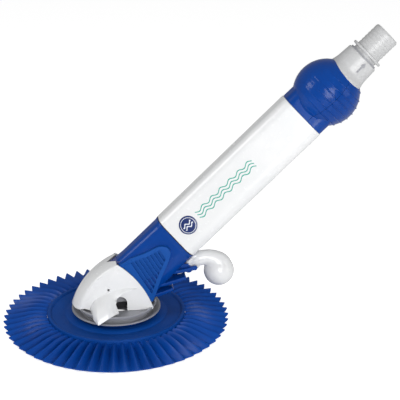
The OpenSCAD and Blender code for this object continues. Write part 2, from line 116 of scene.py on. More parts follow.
@dataclass(frozen=True)
class TubeAxis:
    """The tube's own frame: s along the axis, x away from the ridge, y across. Sizes in mm."""

    tilt: float = 44.0
    height: float = 42.4

    @property
    def matrix(self) -> Matrix:
        """Transform from the tube's frame, in mm, to the row frame, in mm."""
        return Matrix.Translation((0, 0, self.height)) @ Matrix.Rotation(
            math.radians(90 - self.tilt), 4, "Y"
        )

    def place(self, x: float, y: float, s: float) -> Vector:
        """Point of the row frame, in mm, for x, y and s in the tube's frame."""
        return self.matrix @ Vector((x, y, s))

    def local(self, p: Vector) -> Vector:
        """Point in the tube's frame for a point of the row frame, both in mm."""
        return self.matrix.inverted() @ p


AXIS = TubeAxis()


# ---- small numeric helpers -----------------------------------------------


def mix(a: float, b: float, t: float) -> float:
    """Value a share t of the way from a to b."""
    return a + (b - a) * t


def smoothstep(t: float) -> float:
    """Eased share, flat at 0 and at 1."""
    t = min(1.0, max(0.0, t))
    return t * t * (3 - 2 * t)


def arc_points(
    centre: tuple[float, float], radius: float, start: float, end: float, count: int
) -> list[Vector]:
    """Points of an arc.

    Args:
        centre: the arc's centre.
        radius: its radius.
        start: first angle in degrees.
        end: last angle in degrees.
        count: number of steps.

    Returns:
        count + 1 points in the plane.
    """
    points = []
    for i in range(count + 1):
        a = math.radians(mix(start, end, i / count))
        points.append(Vector((centre[0] + radius * math.cos(a), centre[1] + radius * math.sin(a))))
    return points


def along_points(points: Sequence[Vector], t: float) -> Vector:
    """Point a share t of the way along a polyline, by length.

    Args:
        points: corners of the line.
        t: share of its length, 0 to 1.

    Returns:
        The point there.
    """
    lengths = [(b - a).length for a, b in zip(points, points[1:])]
    target = t * sum(lengths)
    for a, b, length in zip(points, points[1:], lengths):
        if target <= length or b is points[-1]:
            return a.lerp(b, min(1.0, target / length)) if length else a.copy()
        target -= length
    return points[-1].copy()


def rounded(points: Sequence[Vector], radius: float, steps: int = 4) -> list[Vector]:
    """Closed outline with each corner rounded.

    Args:
        points: corners in order.
        radius: distance from a corner at which its rounding starts.
        steps: segments in each rounding.

    Returns:
        The rounded outline.
    """
    out = []
    n = len(points)
    for i, corner in enumerate(points):
        before, after = points[i - 1], points[(i + 1) % n]
        a = corner + (before - corner).normalized() * min(radius, (before - corner).length * 0.48)
        b = corner + (after - corner).normalized() * min(radius, (after - corner).length * 0.48)
        for k in range(steps + 1):
            t = k / steps
            out.append(a.lerp(corner, t).lerp(corner.lerp(b, t), t))
    return out


# ---- mesh making ---------------------------------------------------------


def deselect() -> None:
    """Leaves object mode with nothing selected."""
    if bpy.context.object and bpy.context.object.mode != "OBJECT":
        bpy.ops.object.mode_set(mode="OBJECT")
    bpy.ops.object.select_all(action="DESELECT")


def activate(obj: bpy.types.Object) -> None:
    """Makes obj the only selected object and the active one.

    Args:
        obj: the object to work on.
    """
    deselect()
    obj.select_set(True)
    bpy.context.view_layer.objects.active = obj


def named(name: str) -> bpy.types.Object:
    """Names the new primitive and returns it.

    Args:
        name: its new name.

    Returns:
        The primitive.
    """
    obj = bpy.context.object
    obj.name = name
    obj.data.name = name
    return obj


def edit_all(obj: bpy.types.Object, *steps: Callable[[], object]) -> None:
    """Runs edit-mode operators on the whole of obj.

    Args:
        obj: the mesh to edit.
        steps: calls made in edit mode with everything selected.
    """
    activate(obj)
    bpy.ops.object.mode_set(mode="EDIT")
    bpy.ops.mesh.select_mode(type="VERT")
    for step in steps:
        bpy.ops.mesh.select_all(action="SELECT")
        step()
    bpy.ops.object.mode_set(mode="OBJECT")


def close_up(obj: bpy.types.Object, distance: float = 0.01) -> None:
    """Merges doubled points, closer than distance in mm, and turns the faces outwards."""
    edit_all(
        obj,
        lambda: bpy.ops.mesh.remove_doubles(threshold=distance * MM),
        lambda: bpy.ops.mesh.dissolve_degenerate(threshold=distance * MM * 0.1),
        lambda: bpy.ops.mesh.normals_make_consistent(inside=False),
    )


def surface(
    name: str, nu: int, nv: int, place: Callable[[float, float], Vector]
) -> bpy.types.Object:
    """Grid primitive whose points are moved to a curved surface, with seams and poles merged.

    Args:
        name: name of the piece.
        nu: steps in the first direction.
        nv: steps in the second direction.
        place: gives the point in mm for shares u and v from 0 to 1.

    Returns:
        The new object, in metres.
    """
    deselect()
    bpy.ops.mesh.primitive_grid_add(x_subdivisions=nu, y_subdivisions=nv, size=1)
    obj = named(name)
    for vert in obj.data.vertices:
        vert.co = place(vert.co.x + 0.5, vert.co.y + 0.5) * MM
    close_up(obj)
    return obj


def lathe(
    name: str, profile: Sequence[tuple[float, float]], steps: int, matrix: Matrix
) -> bpy.types.Object:
    """Turned ring from a closed profile of (radius, height) points in mm.

    Args:
        name: name of the piece.
        profile: closed loop of (radius, height), in mm.
        steps: steps round the axis.
        matrix: from the lathe's frame to the row frame, in mm.

    Returns:
        The turned ring, in metres.
    """
    loop = [*profile, profile[0]]

    def place(u: float, v: float) -> Vector:
        """Point of the loop's step v, turned by the share u.

        Args:
            u: share in the first direction, 0 to 1.
            v: share in the second direction, 0 to 1.

        Returns:
            The point, in mm.
        """

        r, z = loop[round(v * (len(loop) - 1))]
        a = math.tau * u
        return matrix @ Vector((r * math.cos(a), r * math.sin(a), z))

    return surface(name, steps, len(loop) - 1, place)


def prism(
    name: str, outline: Sequence[Vector], low: float, high: float, matrix: Matrix
) -> bpy.types.Object:
    """Plate made from a flat outline and extruded.

    Args:
        name: name of the piece.
        outline: outline points in mm.
        low: start of the thickness, in mm along local Z.
        high: end of the thickness.
        matrix: from the outline's frame to the row frame, in mm.

    Returns:
        The closed plate.
    """
    deselect()
    bpy.ops.mesh.primitive_circle_add(vertices=len(outline), radius=1, fill_type="NGON")
    obj = named(name)
    for vert, point in zip(obj.data.vertices, outline):
        vert.co = (point.x, point.y, low)
    edit_all(
        obj,
        lambda: bpy.ops.mesh.extrude_region_move(
            TRANSFORM_OT_translate={"value": (0, 0, high - low)}
        ),
    )
    obj.data.transform(Matrix.Scale(MM, 4) @ matrix)
    close_up(obj)
    return obj


def modify(obj: bpy.types.Object, kind: str, **settings: object) -> None:
    """Adds a modifier with the given settings and applies it.

    Args:
        obj: the mesh.
        kind: type of the modifier.
        settings: its properties and their values.
    """
    activate(obj)
    modifier = obj.modifiers.new(kind.lower(), kind)
    for key, value in settings.items():
        setattr(modifier, key, value)
    bpy.ops.object.modifier_apply(modifier=modifier.name)


def cut(
    obj: bpy.types.Object,
    tool: bpy.types.Object,
    operation: str = "DIFFERENCE",
    solver: str = "EXACT",
) -> None:
    """Boolean of obj with tool, which is used up."""
    modify(obj, "BOOLEAN", operation=operation, object=tool, solver=solver)
    bpy.data.objects.remove(tool, do_unlink=True)


def bisect(obj: bpy.types.Object, point: Vector, normal: Vector) -> None:
    """Cuts off what lies beyond a plane, on the side of its normal, and closes the cut.

    Args:
        obj: the mesh to cut.
        point: point of the plane, in mm.
        normal: direction of the side that goes.
    """
    edit_all(
        obj,
        lambda: bpy.ops.mesh.bisect(
            plane_co=point * MM, plane_no=normal, use_fill=True, clear_outer=True, threshold=1e-7
        ),
    )


def soften(obj: bpy.types.Object, width: float, segments: int = 2, angle: float = 35.0) -> None:
    """Bevels the sharp edges of obj by width in mm."""
    modify(
        obj,
        "BEVEL",
        width=width * MM,
        segments=segments,
        limit_method="ANGLE",
        angle_limit=math.radians(angle),
        use_clamp_overlap=True,
    )


def shade(obj: bpy.types.Object, shading: Shading) -> None:
    """Shades obj smooth below the shading's angle.

    Args:
        obj: the mesh.
        shading: how it is shaded.
    """
    activate(obj)
    if shading is Shading.FLAT:
        bpy.ops.object.shade_flat()
    else:
        bpy.ops.object.shade_smooth_by_angle(angle=math.radians(shading.value))


def join(name: str, parts: Sequence[bpy.types.Object]) -> bpy.types.Object:
    """Joins several objects into one.

    Args:
        name: name of the joined object.
        parts: objects to join; they are used up.

    Returns:
        The joined object.
    """
    activate(parts[0])
    for part in parts:
        part.select_set(True)
    if len(parts) > 1:
        bpy.ops.object.join()
    return named(name)


def mirrored(obj: bpy.types.Object, name: str) -> bpy.types.Object:
    """Copy of obj on the other side of the symmetry plane, faces outwards.

    Args:
        obj: the object to copy.
        name: name of the copy.

    Returns:
        The copy, with its own mesh.
    """
    copy = obj.copy()
    copy.data = obj.data.copy()
    copy.name = copy.data.name = name
    bpy.context.scene.collection.objects.link(copy)
    copy.data.transform(Matrix.Scale(-1, 4, (0, 1, 0)))
    copy.data.flip_normals()
    return copy


def block(
    name: str, low: Sequence[float], high: Sequence[float], matrix: Matrix
) -> bpy.types.Object:
    """Box between two corners in mm, used as a cutter or a start."""
    outline = [
        Vector((low[0], low[1])),
        Vector((high[0], low[1])),
        Vector((high[0], high[1])),
        Vector((low[0], high[1])),
    ]
    return prism(name, outline, low[2], high[2], matrix)


def finish_piece(
    obj: bpy.types.Object,
    body: str,
    slot: str,
    material: bpy.types.Material,
    shading: Shading,
    *nodes: str,
) -> bpy.types.Object:
    """Shades, dresses and attaches a finished piece to its body.

    Args:
        obj: the piece.
        body: CAD body that it rides on.
        slot: material slot of the record; not used.
        material: its finish.
        shading: how it is shaded.
        nodes: CAD nodes that it stands for.

    Returns:
        The same piece.
    """
    shade(obj, shading)
    obj.data.materials.clear()
    obj.data.materials.append(material)
    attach(obj, body)
    if nodes:
        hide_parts(*nodes)
    log.info("%s: %d faces on %s", obj.name, len(obj.data.polygons), body)
    return obj


# ---- finishes ------------------------------------------------------------


class NodeDesk:
    """Short typed calls for building one node tree."""

    def __init__(self, tree: bpy.types.NodeTree) -> None:
        """Keeps the tree that nodes are added to."""
        self.tree = tree

    def add(self, kind: str, **settings: object) -> bpy.types.Node:
        """New node of a kind with its properties set.

        Args:
            kind: type of the node.
            settings: its properties and their values.

        Returns:
            The node.
        """
        node = self.tree.nodes.new(kind)
        for key, value in settings.items():
            setattr(node, key, value)
        return node

    def link(self, source: bpy.types.NodeSocket, target: bpy.types.NodeSocket) -> None:
        """Joins two sockets."""
        self.tree.links.new(source, target)

    def math(
        self, operation: str, a: object, b: object = 0.0, clamp: bool = False
    ) -> bpy.types.NodeSocket:
        """Math node on sockets or numbers; returns its output.

        Args:
            operation: name of the operation.
            a: first socket or number.
            b: second socket or number.
            clamp: whether the result is kept from 0 to 1.

        Returns:
            The result's socket.
        """
        node = self.add("ShaderNodeMath", operation=operation, use_clamp=clamp)
        for i, value in enumerate((a, b)):
            if isinstance(value, bpy.types.NodeSocket):
                self.link(value, node.inputs[i])
            else:
                node.inputs[i].default_value = value
        return node.outputs[0]

    def noise(
        self, coordinate: bpy.types.NodeSocket, scale: object, detail: float = 2.0
    ) -> bpy.types.NodeSocket:
        """Noise value; scale is a number or a socket.

        Args:
            coordinate: socket of the place.
            scale: number or socket of the scale.
            detail: octaves of detail.

        Returns:
            The noise value's socket.
        """
        node = self.add("ShaderNodeTexNoise")
        node.inputs["Detail"].default_value = detail
        self.link(coordinate, node.inputs["Vector"])
        if isinstance(scale, bpy.types.NodeSocket):
            self.link(scale, node.inputs["Scale"])
        else:
            node.inputs["Scale"].default_value = scale
        return node.outputs["Fac"]

    def ramp(self, value: bpy.types.NodeSocket, low: float, high: float) -> bpy.types.NodeSocket:
        """Value mapped so that low gives 0 and high gives 1, clamped.

        Args:
            value: socket of the value.
            low: value that gives 0.
            high: value that gives 1.

        Returns:
            The result's socket.
        """
        node = self.add("ShaderNodeMapRange")
        node.clamp = True
        node.inputs["From Min"].default_value = low
        node.inputs["From Max"].default_value = high
        self.link(value, node.inputs["Value"])
        return node.outputs["Result"]

    def blend(self, mask: bpy.types.NodeSocket, a: object, b: object) -> bpy.types.NodeSocket:
        """Colour a where mask is 0 and b where it is 1.

        Args:
            mask: socket of the mask.
            a: first colour or its socket.
            b: second colour or its socket.

        Returns:
            The colour's socket.
        """
        node = self.add("ShaderNodeMix", data_type="RGBA")
        self.link(mask, node.inputs[0])
        for socket, value in ((node.inputs[6], a), (node.inputs[7], b)):
            if isinstance(value, bpy.types.NodeSocket):
                self.link(value, socket)
            else:
                socket.default_value = (*value, 1.0)
        return node.outputs[2]


def new_group(
    name: str, inputs: dict[str, float], outputs: Sequence[str]
) -> tuple[bpy.types.NodeTree, NodeDesk]:
    """Empty shader node group with named sockets.

    Args:
        name: the group's name.
        inputs: float inputs and their defaults.
        outputs: float outputs.

    Returns:
        The group and a desk to build it with.
    """
    group = bpy.data.node_groups.new(name, "ShaderNodeTree")
    for label, value in inputs.items():
        socket = group.interface.new_socket(label, in_out="INPUT", socket_type="NodeSocketFloat")
        socket.default_value = value
    for label in outputs:
        group.interface.new_socket(label, in_out="OUTPUT", socket_type="NodeSocketFloat")
    return group, NodeDesk(group)


def moulding_group() -> bpy.types.NodeTree:
    """Fine orange-peel height, slow tone changes and rubbed patches of a moulded piece.

    Returns:
        The group, with outputs Height, Tone and Rub.
    """
    group, desk = new_group("Moulding", {"Scale": 900.0}, ("Height", "Tone", "Rub"))
    source, sink = desk.add("NodeGroupInput"), desk.add("NodeGroupOutput")
    at = desk.add("ShaderNodeTexCoord").outputs["Object"]
    fine = desk.noise(at, source.outputs["Scale"], 3.0)
    slow = desk.noise(at, 22.0, 3.0)
    rub = desk.ramp(desk.noise(at, 140.0, 6.0), 0.56, 0.72)
    desk.link(fine, sink.inputs["Height"])
    desk.link(desk.ramp(slow, 0.3, 0.7), sink.inputs["Tone"])
    desk.link(rub, sink.inputs["Rub"])
    return group


def scratch_group() -> bpy.types.NodeTree:
    """Fine hairline scratches in two directions, as a mask.

    Returns:
        The group, with the output Mask.
    """
    group, desk = new_group("Hairlines", {"Spread": 1.0}, ("Mask",))
    source, sink = desk.add("NodeGroupInput"), desk.add("NodeGroupOutput")
    at = desk.add("ShaderNodeTexCoord").outputs["Object"]
    masks = []
    for turn, stretch in ((0.6, (900, 18, 60)), (-0.9, (40, 700, 25))):
        mapping = desk.add("ShaderNodeMapping")
        mapping.inputs["Rotation"].default_value = (turn, turn * 0.7, turn)
        mapping.inputs["Scale"].default_value = stretch
        desk.link(at, mapping.inputs["Vector"])
        masks.append(desk.ramp(desk.noise(mapping.outputs[0], 1.0, 1.0), 0.68, 0.76))
    both = desk.math("MAXIMUM", masks[0], masks[1])
    desk.link(desk.math("MULTIPLY", both, source.outputs["Spread"]), sink.inputs["Mask"])
    return group


@dataclass(frozen=True)
class Finish:
    """A moulded finish: base colour, gloss and how strongly its surface detail shows."""

    name: str
    colour: tuple[float, float, float]
    tone: tuple[float, float, float]
    rough: float
    rub: float = 0.12
    metal: float = 0.0
    grain: float = 900.0
    bump: float = 0.08
    coat: float = 0.0
    specular: float = 0.5
    scratches: float = 0.15

    def build(self, kit: "FinishKit") -> bpy.types.Material:
        """Args:
            kit: the finishes and their shared groups.

        Returns:
            The material.
        """
        material = bpy.data.materials.new(self.name)
        material.use_nodes = True
        desk = NodeDesk(material.node_tree)
        shader = material.node_tree.nodes["Principled BSDF"]
        moulding = desk.add("ShaderNodeGroup", node_tree=kit.moulding)
        moulding.inputs["Scale"].default_value = self.grain
        hairs = desk.add("ShaderNodeGroup", node_tree=kit.scratch)
        hairs.inputs["Spread"].default_value = self.scratches
        colour = desk.blend(moulding.outputs["Tone"], self.colour, self.tone)
        colour = self.print_over(desk, colour)
        desk.link(colour, shader.inputs["Base Color"])
        rough = desk.math("MULTIPLY", moulding.outputs["Rub"], self.rub)
        rough = desk.math("ADD", rough, desk.math("MULTIPLY", hairs.outputs["Mask"], 0.25))
        rough = desk.math("ADD", rough, self.rough, clamp=True)
        desk.link(rough, shader.inputs["Roughness"])
        bump = desk.add("ShaderNodeBump")
        bump.inputs["Strength"].default_value = self.bump
        bump.inputs["Distance"].default_value = 0.0004
        height = desk.math("SUBTRACT", moulding.outputs["Height"], hairs.outputs["Mask"])
        desk.link(height, bump.inputs["Height"])
        desk.link(bump.outputs["Normal"], shader.inputs["Normal"])
        shader.inputs["Metallic"].default_value = self.metal
        shader.inputs["Coat Weight"].default_value = self.coat
        shader.inputs["Specular IOR Level"].default_value = self.specular
        return material

    def print_over(self, desk: NodeDesk, colour: bpy.types.NodeSocket) -> bpy.types.NodeSocket:
        """Colour with any printing on it; plain here."""
        return colour


def tube_coordinates(desk: NodeDesk) -> tuple[bpy.types.NodeSocket, bpy.types.NodeSocket]:
    """Adds the nodes that give a point's place in the tube's frame.

    Args:
        desk: the material's desk.

    Returns:
        Sockets of x, away from the ridge, and s, along the axis, both in mm.
    """
    at = desk.add("ShaderNodeTexCoord").outputs["Object"]
    mapping = desk.add("ShaderNodeMapping", vector_type="TEXTURE")
    mapping.inputs["Location"].default_value = (0, 0, AXIS.height * MM)
    mapping.inputs["Rotation"].default_value = (0, math.radians(90 - AXIS.tilt), 0)
    mapping.inputs["Scale"].default_value = (MM, MM, MM)
    desk.link(at, mapping.inputs["Vector"])
    split = desk.add("ShaderNodeSeparateXYZ")
    desk.link(mapping.outputs[0], split.inputs[0])
    return split.outputs["X"], split.outputs["Z"]


@dataclass(frozen=True)
class WavePrint(Finish):
    """A moulded finish with wave lines printed on both side faces, in the tube's own frame."""

    ink: tuple[float, float, float] = (0.045, 0.40, 0.31)
    start: float = 168.0
    end: float = 274.0
    middle: float = -10.0
    waves: float = 17.0
    line: float = 1.5
    gap: float = 4.4
    sway: float = 1.7

    def print_over(self, desk: NodeDesk, colour: bpy.types.NodeSocket) -> bpy.types.NodeSocket:
        """Colour with the wave lines over it.

        Args:
            desk: the material's desk.
            colour: socket of the colour below.

        Returns:
            The printed colour's socket.
        """
        x, s = tube_coordinates(desk)
        turn = desk.math("MULTIPLY", s, math.tau / self.waves)
        sway = desk.math("MULTIPLY", desk.math("SINE", turn), self.sway)
        masks = []
        for row in (-1, 0, 1):
            offset = desk.math("SUBTRACT", x, self.middle + row * self.gap)
            distance = desk.math("ABSOLUTE", desk.math("SUBTRACT", offset, sway))
            masks.append(desk.math("LESS_THAN", distance, self.line * 0.5))
        mask = desk.math("MAXIMUM", desk.math("MAXIMUM", masks[0], masks[1]), masks[2])
        after = desk.math("GREATER_THAN", s, self.start)
        inside = desk.math("MULTIPLY", after, desk.math("LESS_THAN", s, self.end))
        mask = desk.math("MULTIPLY", mask, inside)
        return desk.blend(mask, colour, self.ink)


@dataclass(frozen=True)
class WaveBadge(Finish):
    """The round badge: two plain white wave lines inside a thin ring on dark blue."""

    ink: tuple[float, float, float] = (0.82, 0.86, 0.92)
    centre: tuple[float, float] = (-9.97, 149.0)
    lean: float = 0.928
    waves: float = 9.0
    sway: float = 1.6
    row: float = 2.2
    half_line: float = 0.9
    field_radius: float = 8.0
    ring_radius: float = 10.6
    ring_half: float = 0.35

    def print_over(self, desk: NodeDesk, colour: bpy.types.NodeSocket) -> bpy.types.NodeSocket:
        """Colour with the wave and its ring over it.

        Args:
            desk: the material's desk.
            colour: socket of the colour below.

        Returns:
            The printed colour's socket.
        """
        across, along = tube_coordinates(desk)
        x = desk.math("DIVIDE", desk.math("SUBTRACT", across, self.centre[0]), self.lean)
        s = desk.math("SUBTRACT", along, self.centre[1])
        squares = desk.math("ADD", desk.math("MULTIPLY", x, x), desk.math("MULTIPLY", s, s))
        radius = desk.math("SQRT", squares)
        turn = desk.math("MULTIPLY", s, math.tau / self.waves)
        sway = desk.math("MULTIPLY", desk.math("SINE", turn), self.sway)
        masks = []
        for row in (-self.row, self.row):
            offset = desk.math("SUBTRACT", desk.math("SUBTRACT", x, row), sway)
            masks.append(desk.math("LESS_THAN", desk.math("ABSOLUTE", offset), self.half_line))
        both = desk.math("MAXIMUM", masks[0], masks[1])
        waves = desk.math("MULTIPLY", both, desk.math("LESS_THAN", radius, self.field_radius))
        off_ring = desk.math("ABSOLUTE", desk.math("SUBTRACT", radius, self.ring_radius))
        rim = desk.math("LESS_THAN", off_ring, self.ring_half)
        return desk.blend(desk.math("MAXIMUM", waves, rim), colour, self.ink)


@dataclass
class FinishKit:
    """All finishes of the cleaner, with the node groups that they share."""

    moulding: bpy.types.NodeTree = field(default_factory=moulding_group)
    scratch: bpy.types.NodeTree = field(default_factory=scratch_group)
    made: dict[str, bpy.types.Material] = field(default_factory=dict)

    FINISHES = (
        Finish(
            "white_gloss", (0.80, 0.81, 0.82), (0.84, 0.845, 0.85), 0.2, coat=0.25, bump=0.05
        ),
        WavePrint(
            "tube_white", (0.80, 0.81, 0.82), (0.84, 0.845, 0.85), 0.22, coat=0.25, bump=0.04
        ),
        # White plastic darkened by painted shade, for the neck and the spigot.
        Finish("white_painted_shade", (0.54, 0.545, 0.55), (0.59, 0.595, 0.60), 0.27, bump=0.06),
        Finish(
            "blue_shell", (0.001, 0.045, 0.265), (0.002, 0.055, 0.31), 0.17,
            coat=0.06, bump=0.06, specular=0.2,
        ),
        Finish(
            "blue_grip", (0.004, 0.073, 0.34), (0.006, 0.084, 0.38), 0.5,
            grain=1600, bump=0.3, specular=0.18,
        ),
        Finish(
            "blue_skirt", (0.001, 0.048, 0.28), (0.002, 0.066, 0.36), 0.33,
            grain=700, bump=0.14, scratches=0.3, specular=0.2,
        ),
        Finish(
            "blue_disc", (0.001, 0.050, 0.27), (0.002, 0.060, 0.31), 0.5,
            grain=500, bump=0.2, scratches=0.4, specular=0.12,
        ),
        Finish(
            "grey_satin", (0.31, 0.315, 0.34), (0.35, 0.355, 0.385), 0.42, grain=1200, bump=0.12
        ),
        # Blue plastic greyed by a painted sheen, for the spine in the crown's notch.
        Finish("spine_painted_sheen", (0.07, 0.085, 0.24), (0.09, 0.105, 0.28), 0.45, bump=0.1),
        Finish(
            "black_rubber", (0.012, 0.012, 0.014), (0.02, 0.02, 0.023), 0.6,
            grain=1400, bump=0.3, specular=0.35,
        ),
        Finish(
            "steel", (0.50, 0.51, 0.53), (0.58, 0.59, 0.61), 0.28,
            metal=1.0, grain=2400, bump=0.12, scratches=0.5,
        ),
        Finish("acetal", (0.68, 0.66, 0.58), (0.74, 0.72, 0.64), 0.38, bump=0.1),
        Finish(
            "foam", (0.62, 0.55, 0.36), (0.70, 0.63, 0.43), 0.85,
            grain=420, bump=0.8, specular=0.2,
        ),
        WaveBadge(
            "wave_badge", (0.006, 0.022, 0.13), (0.008, 0.027, 0.15), 0.22, coat=0.4, bump=0.04
        ),
    )

    def get(self, name: str) -> bpy.types.Material:
        """The finish of that name, made when it is first asked for.

        Args:
            name: name of the finish.

        Returns:
            Its material.
        """
        if name not in self.made:
            self.made[name] = next(f for f in self.FINISHES if f.name == name).build(self)
        return self.made[name]


# ---- sections and outlines -----------------------------------------------


@dataclass(frozen=True)
class Keystone:
    """Rounded trapezoid section: corner centres and radius, x away from the ridge."""

    low: tuple[float, float] = (14.0, 19.5)
    top: tuple[float, float] = (-22.0, 5.0)
    radius: float = 16.0
    steps: int = 14

    def outline(self, grow: float = 0.0) -> list[Vector]:
        """Outline grown by grow, with a support point by each end of each arc.

        Args:
            grow: growth of the section, in mm.

        Returns:
            Points of the closed outline.
        """
        side = 90 + math.degrees(math.atan2(self.low[1] - self.top[1], self.low[0] - self.top[0]))
        r = self.radius + grow
        arcs = (
            arc_points(self.low, r, 0, side, self.steps),
            arc_points(self.top, r, side, 180, self.steps),
            arc_points((self.top[0], -self.top[1]), r, 180, 360 - side, self.steps),
            arc_points((self.low[0], -self.low[1]), r, 360 - side, 360, self.steps),
        )
        points: list[Vector] = []
        for i, arc in enumerate(arcs):
            before, after = arcs[i - 1][-1], arcs[(i + 1) % 4][0]
            points.append(arc[0].lerp(before, 0.06))
            points.extend(arc)
            points.append(arc[-1].lerp(after, 0.06))
        return points

    def scaled(self, t: float, end: "Keystone") -> "Keystone":
        """Section a share t of the way towards another one.

        Args:
            t: share from 0 to 1.
            end: the other section.

        Returns:
            The section between them.
        """
        return Keystone(
            (mix(self.low[0], end.low[0], t), mix(self.low[1], end.low[1], t)),
            (mix(self.top[0], end.top[0], t), mix(self.top[1], end.top[1], t)),
            mix(self.radius, end.radius, t),
            self.steps,
        )


def keystone_sweep(
    name: str, section: Keystone, profile: Sequence[tuple[float, float]]
) -> bpy.types.Object:
    """Ring of keystone section from a closed profile of (growth, s) points.

    Args:
        name: name of the piece.
        section: the section that is swept.
        profile: closed loop of (growth, s), in mm.

    Returns:
        The ring, in metres.
    """
    loop = [*profile, profile[0]]
    outlines = {grow: section.outline(grow) for grow, s in loop}
    count = len(next(iter(outlines.values())))

    def place(u: float, v: float) -> Vector:
        """Point of the outline share u at the loop step v.

        Args:
            u: share in the first direction, 0 to 1.
            v: share in the second direction, 0 to 1.

        Returns:
            The point, in mm.
        """

        grow, s = loop[round(v * (len(loop) - 1))]
        p = outlines[grow][round(u * count) % count]
        return AXIS.place(p.x, p.y, s)

    return surface(name, count, len(loop) - 1, place)


def side_matrix() -> Matrix:
    """Frame for X-Z outlines: local X and Y become row X and Z, and local Z row -Y."""
    return Matrix.Rotation(math.radians(90), 4, "X")


def arc_cutter(name: str, radius: float) -> bpy.types.Object:
    """Cylinder across the head whose wall is the rear arc, with its radius in mm."""
    outline = arc_points(REAR_ARC, radius, 0, 360 * (1 - 1 / 256), 255)
    return prism(name, outline, -90, 90, side_matrix())


# ---- skirt ---------------------------------------------------------------


@dataclass
class Skirt:
    """The pleated rubber skirt and its disc. Sizes in mm."""

    kit: FinishKit
    pleats: int = 60
    inner: float = 98.3
    ridge_r: float = 160.0
    valley_r: float = 152.5
    disc_z: float = 16.0
    rubber: float = 1.9
    per_pleat: int = 12
    rings: int = 14

    def lift(self, angle: float) -> float:
        """Share, 0 to 1, by which the rim stands up at an angle; the front droops most."""
        return 0.5 + 0.5 * math.sin(angle - math.radians(8))

    def top(self, u: float, t: float) -> Vector:
        """Point of the upper surface at turn share u and radial share t.

        Args:
            u: share of a full turn.
            t: share from the disc to the rim.

        Returns:
            The point, in mm.
        """
        angle = math.tau * u
        phase = (u * self.pleats) % 1.0
        wave = abs(2 * phase - 1)
        crest = smoothstep(wave) * 0.45 + wave * 0.55
        side = noise.noise(Vector((math.cos(angle) * 9, math.sin(angle) * 9, 3.0)))
        lift = min(1.0, 1.25 * self.lift(angle))
        shoulder = 3.2 * math.sin(math.pi * min(1, t * 1.5)) * (1 - t)
        ridge_z = self.disc_z + shoulder - mix(9.5, 3.6, lift) * t**2.0
        valley_z = mix(12.0, mix(2.2, 6.3, lift), t**0.55)
        reach = mix(self.valley_r, self.ridge_r, crest) + 0.3 * side * t
        radius = self.inner + t * (reach - self.inner)
        turn = angle + math.radians(0.35) * side * t
        z = mix(valley_z, ridge_z, crest)
        return Vector((radius * math.cos(turn), radius * math.sin(turn), z))

    def pleat_sheet(self) -> bpy.types.Object:
        """The folded sheet: upper surface, rim and underside as one closed loop.

        Returns:
            The pleated piece.
        """
        last = 2 * self.rings + 2

        def place(u: float, v: float) -> Vector:
            """Upper surface out to the rim, then back along the underside.

            Args:
                u: share in the first direction, 0 to 1.
                v: share in the second direction, 0 to 1.

            Returns:
                The point, in mm.
            """

            k = round(v * last) % last
            if k <= self.rings:
                return self.top(u, k / self.rings)
            point = self.top(u, (last - 1 - k) / self.rings)
            point.z -= self.rubber
            return point

        piece = surface("skirt_pleat_sheet", self.pleats * self.per_pleat, last, place)
        return finish_piece(
            piece, "skirt", "skirt_rubber", self.kit.get("blue_skirt"), Shading.SOFT, "skirt_pleats"
        )

    def disc(self) -> bpy.types.Object:
        """Flat disc with the raised bead and two faint moulded steps.

        Returns:
            The disc.
        """
        z = self.disc_z
        profile = [
            (52.0, 11.3), (98.0, 11.3), (98.0, z + 1.0), (97.6, z + 2.1), (96.4, z + 2.5),
            (94.4, z + 2.5), (93.2, z + 2.0), (92.7, z + 0.9), (92.2, z + 0.15), (91.4, z),
            (74.4, z), (73.6, z - 0.5), (71.4, z - 0.5), (70.6, z), (53.0, z), (52.0, z - 0.4),
        ]
        piece = lathe("skirt_disc_ring", profile, 160, Matrix.Identity(4))
        return finish_piece(
            piece, "skirt", "skirt_rubber", self.kit.get("blue_disc"), Shading.SOFT, "skirt_disc"
        )

    def build(self) -> list[bpy.types.Object]:
        """All pieces of the skirt."""
        return [self.pleat_sheet(), self.disc()]


# ---- head ----------------------------------------------------------------


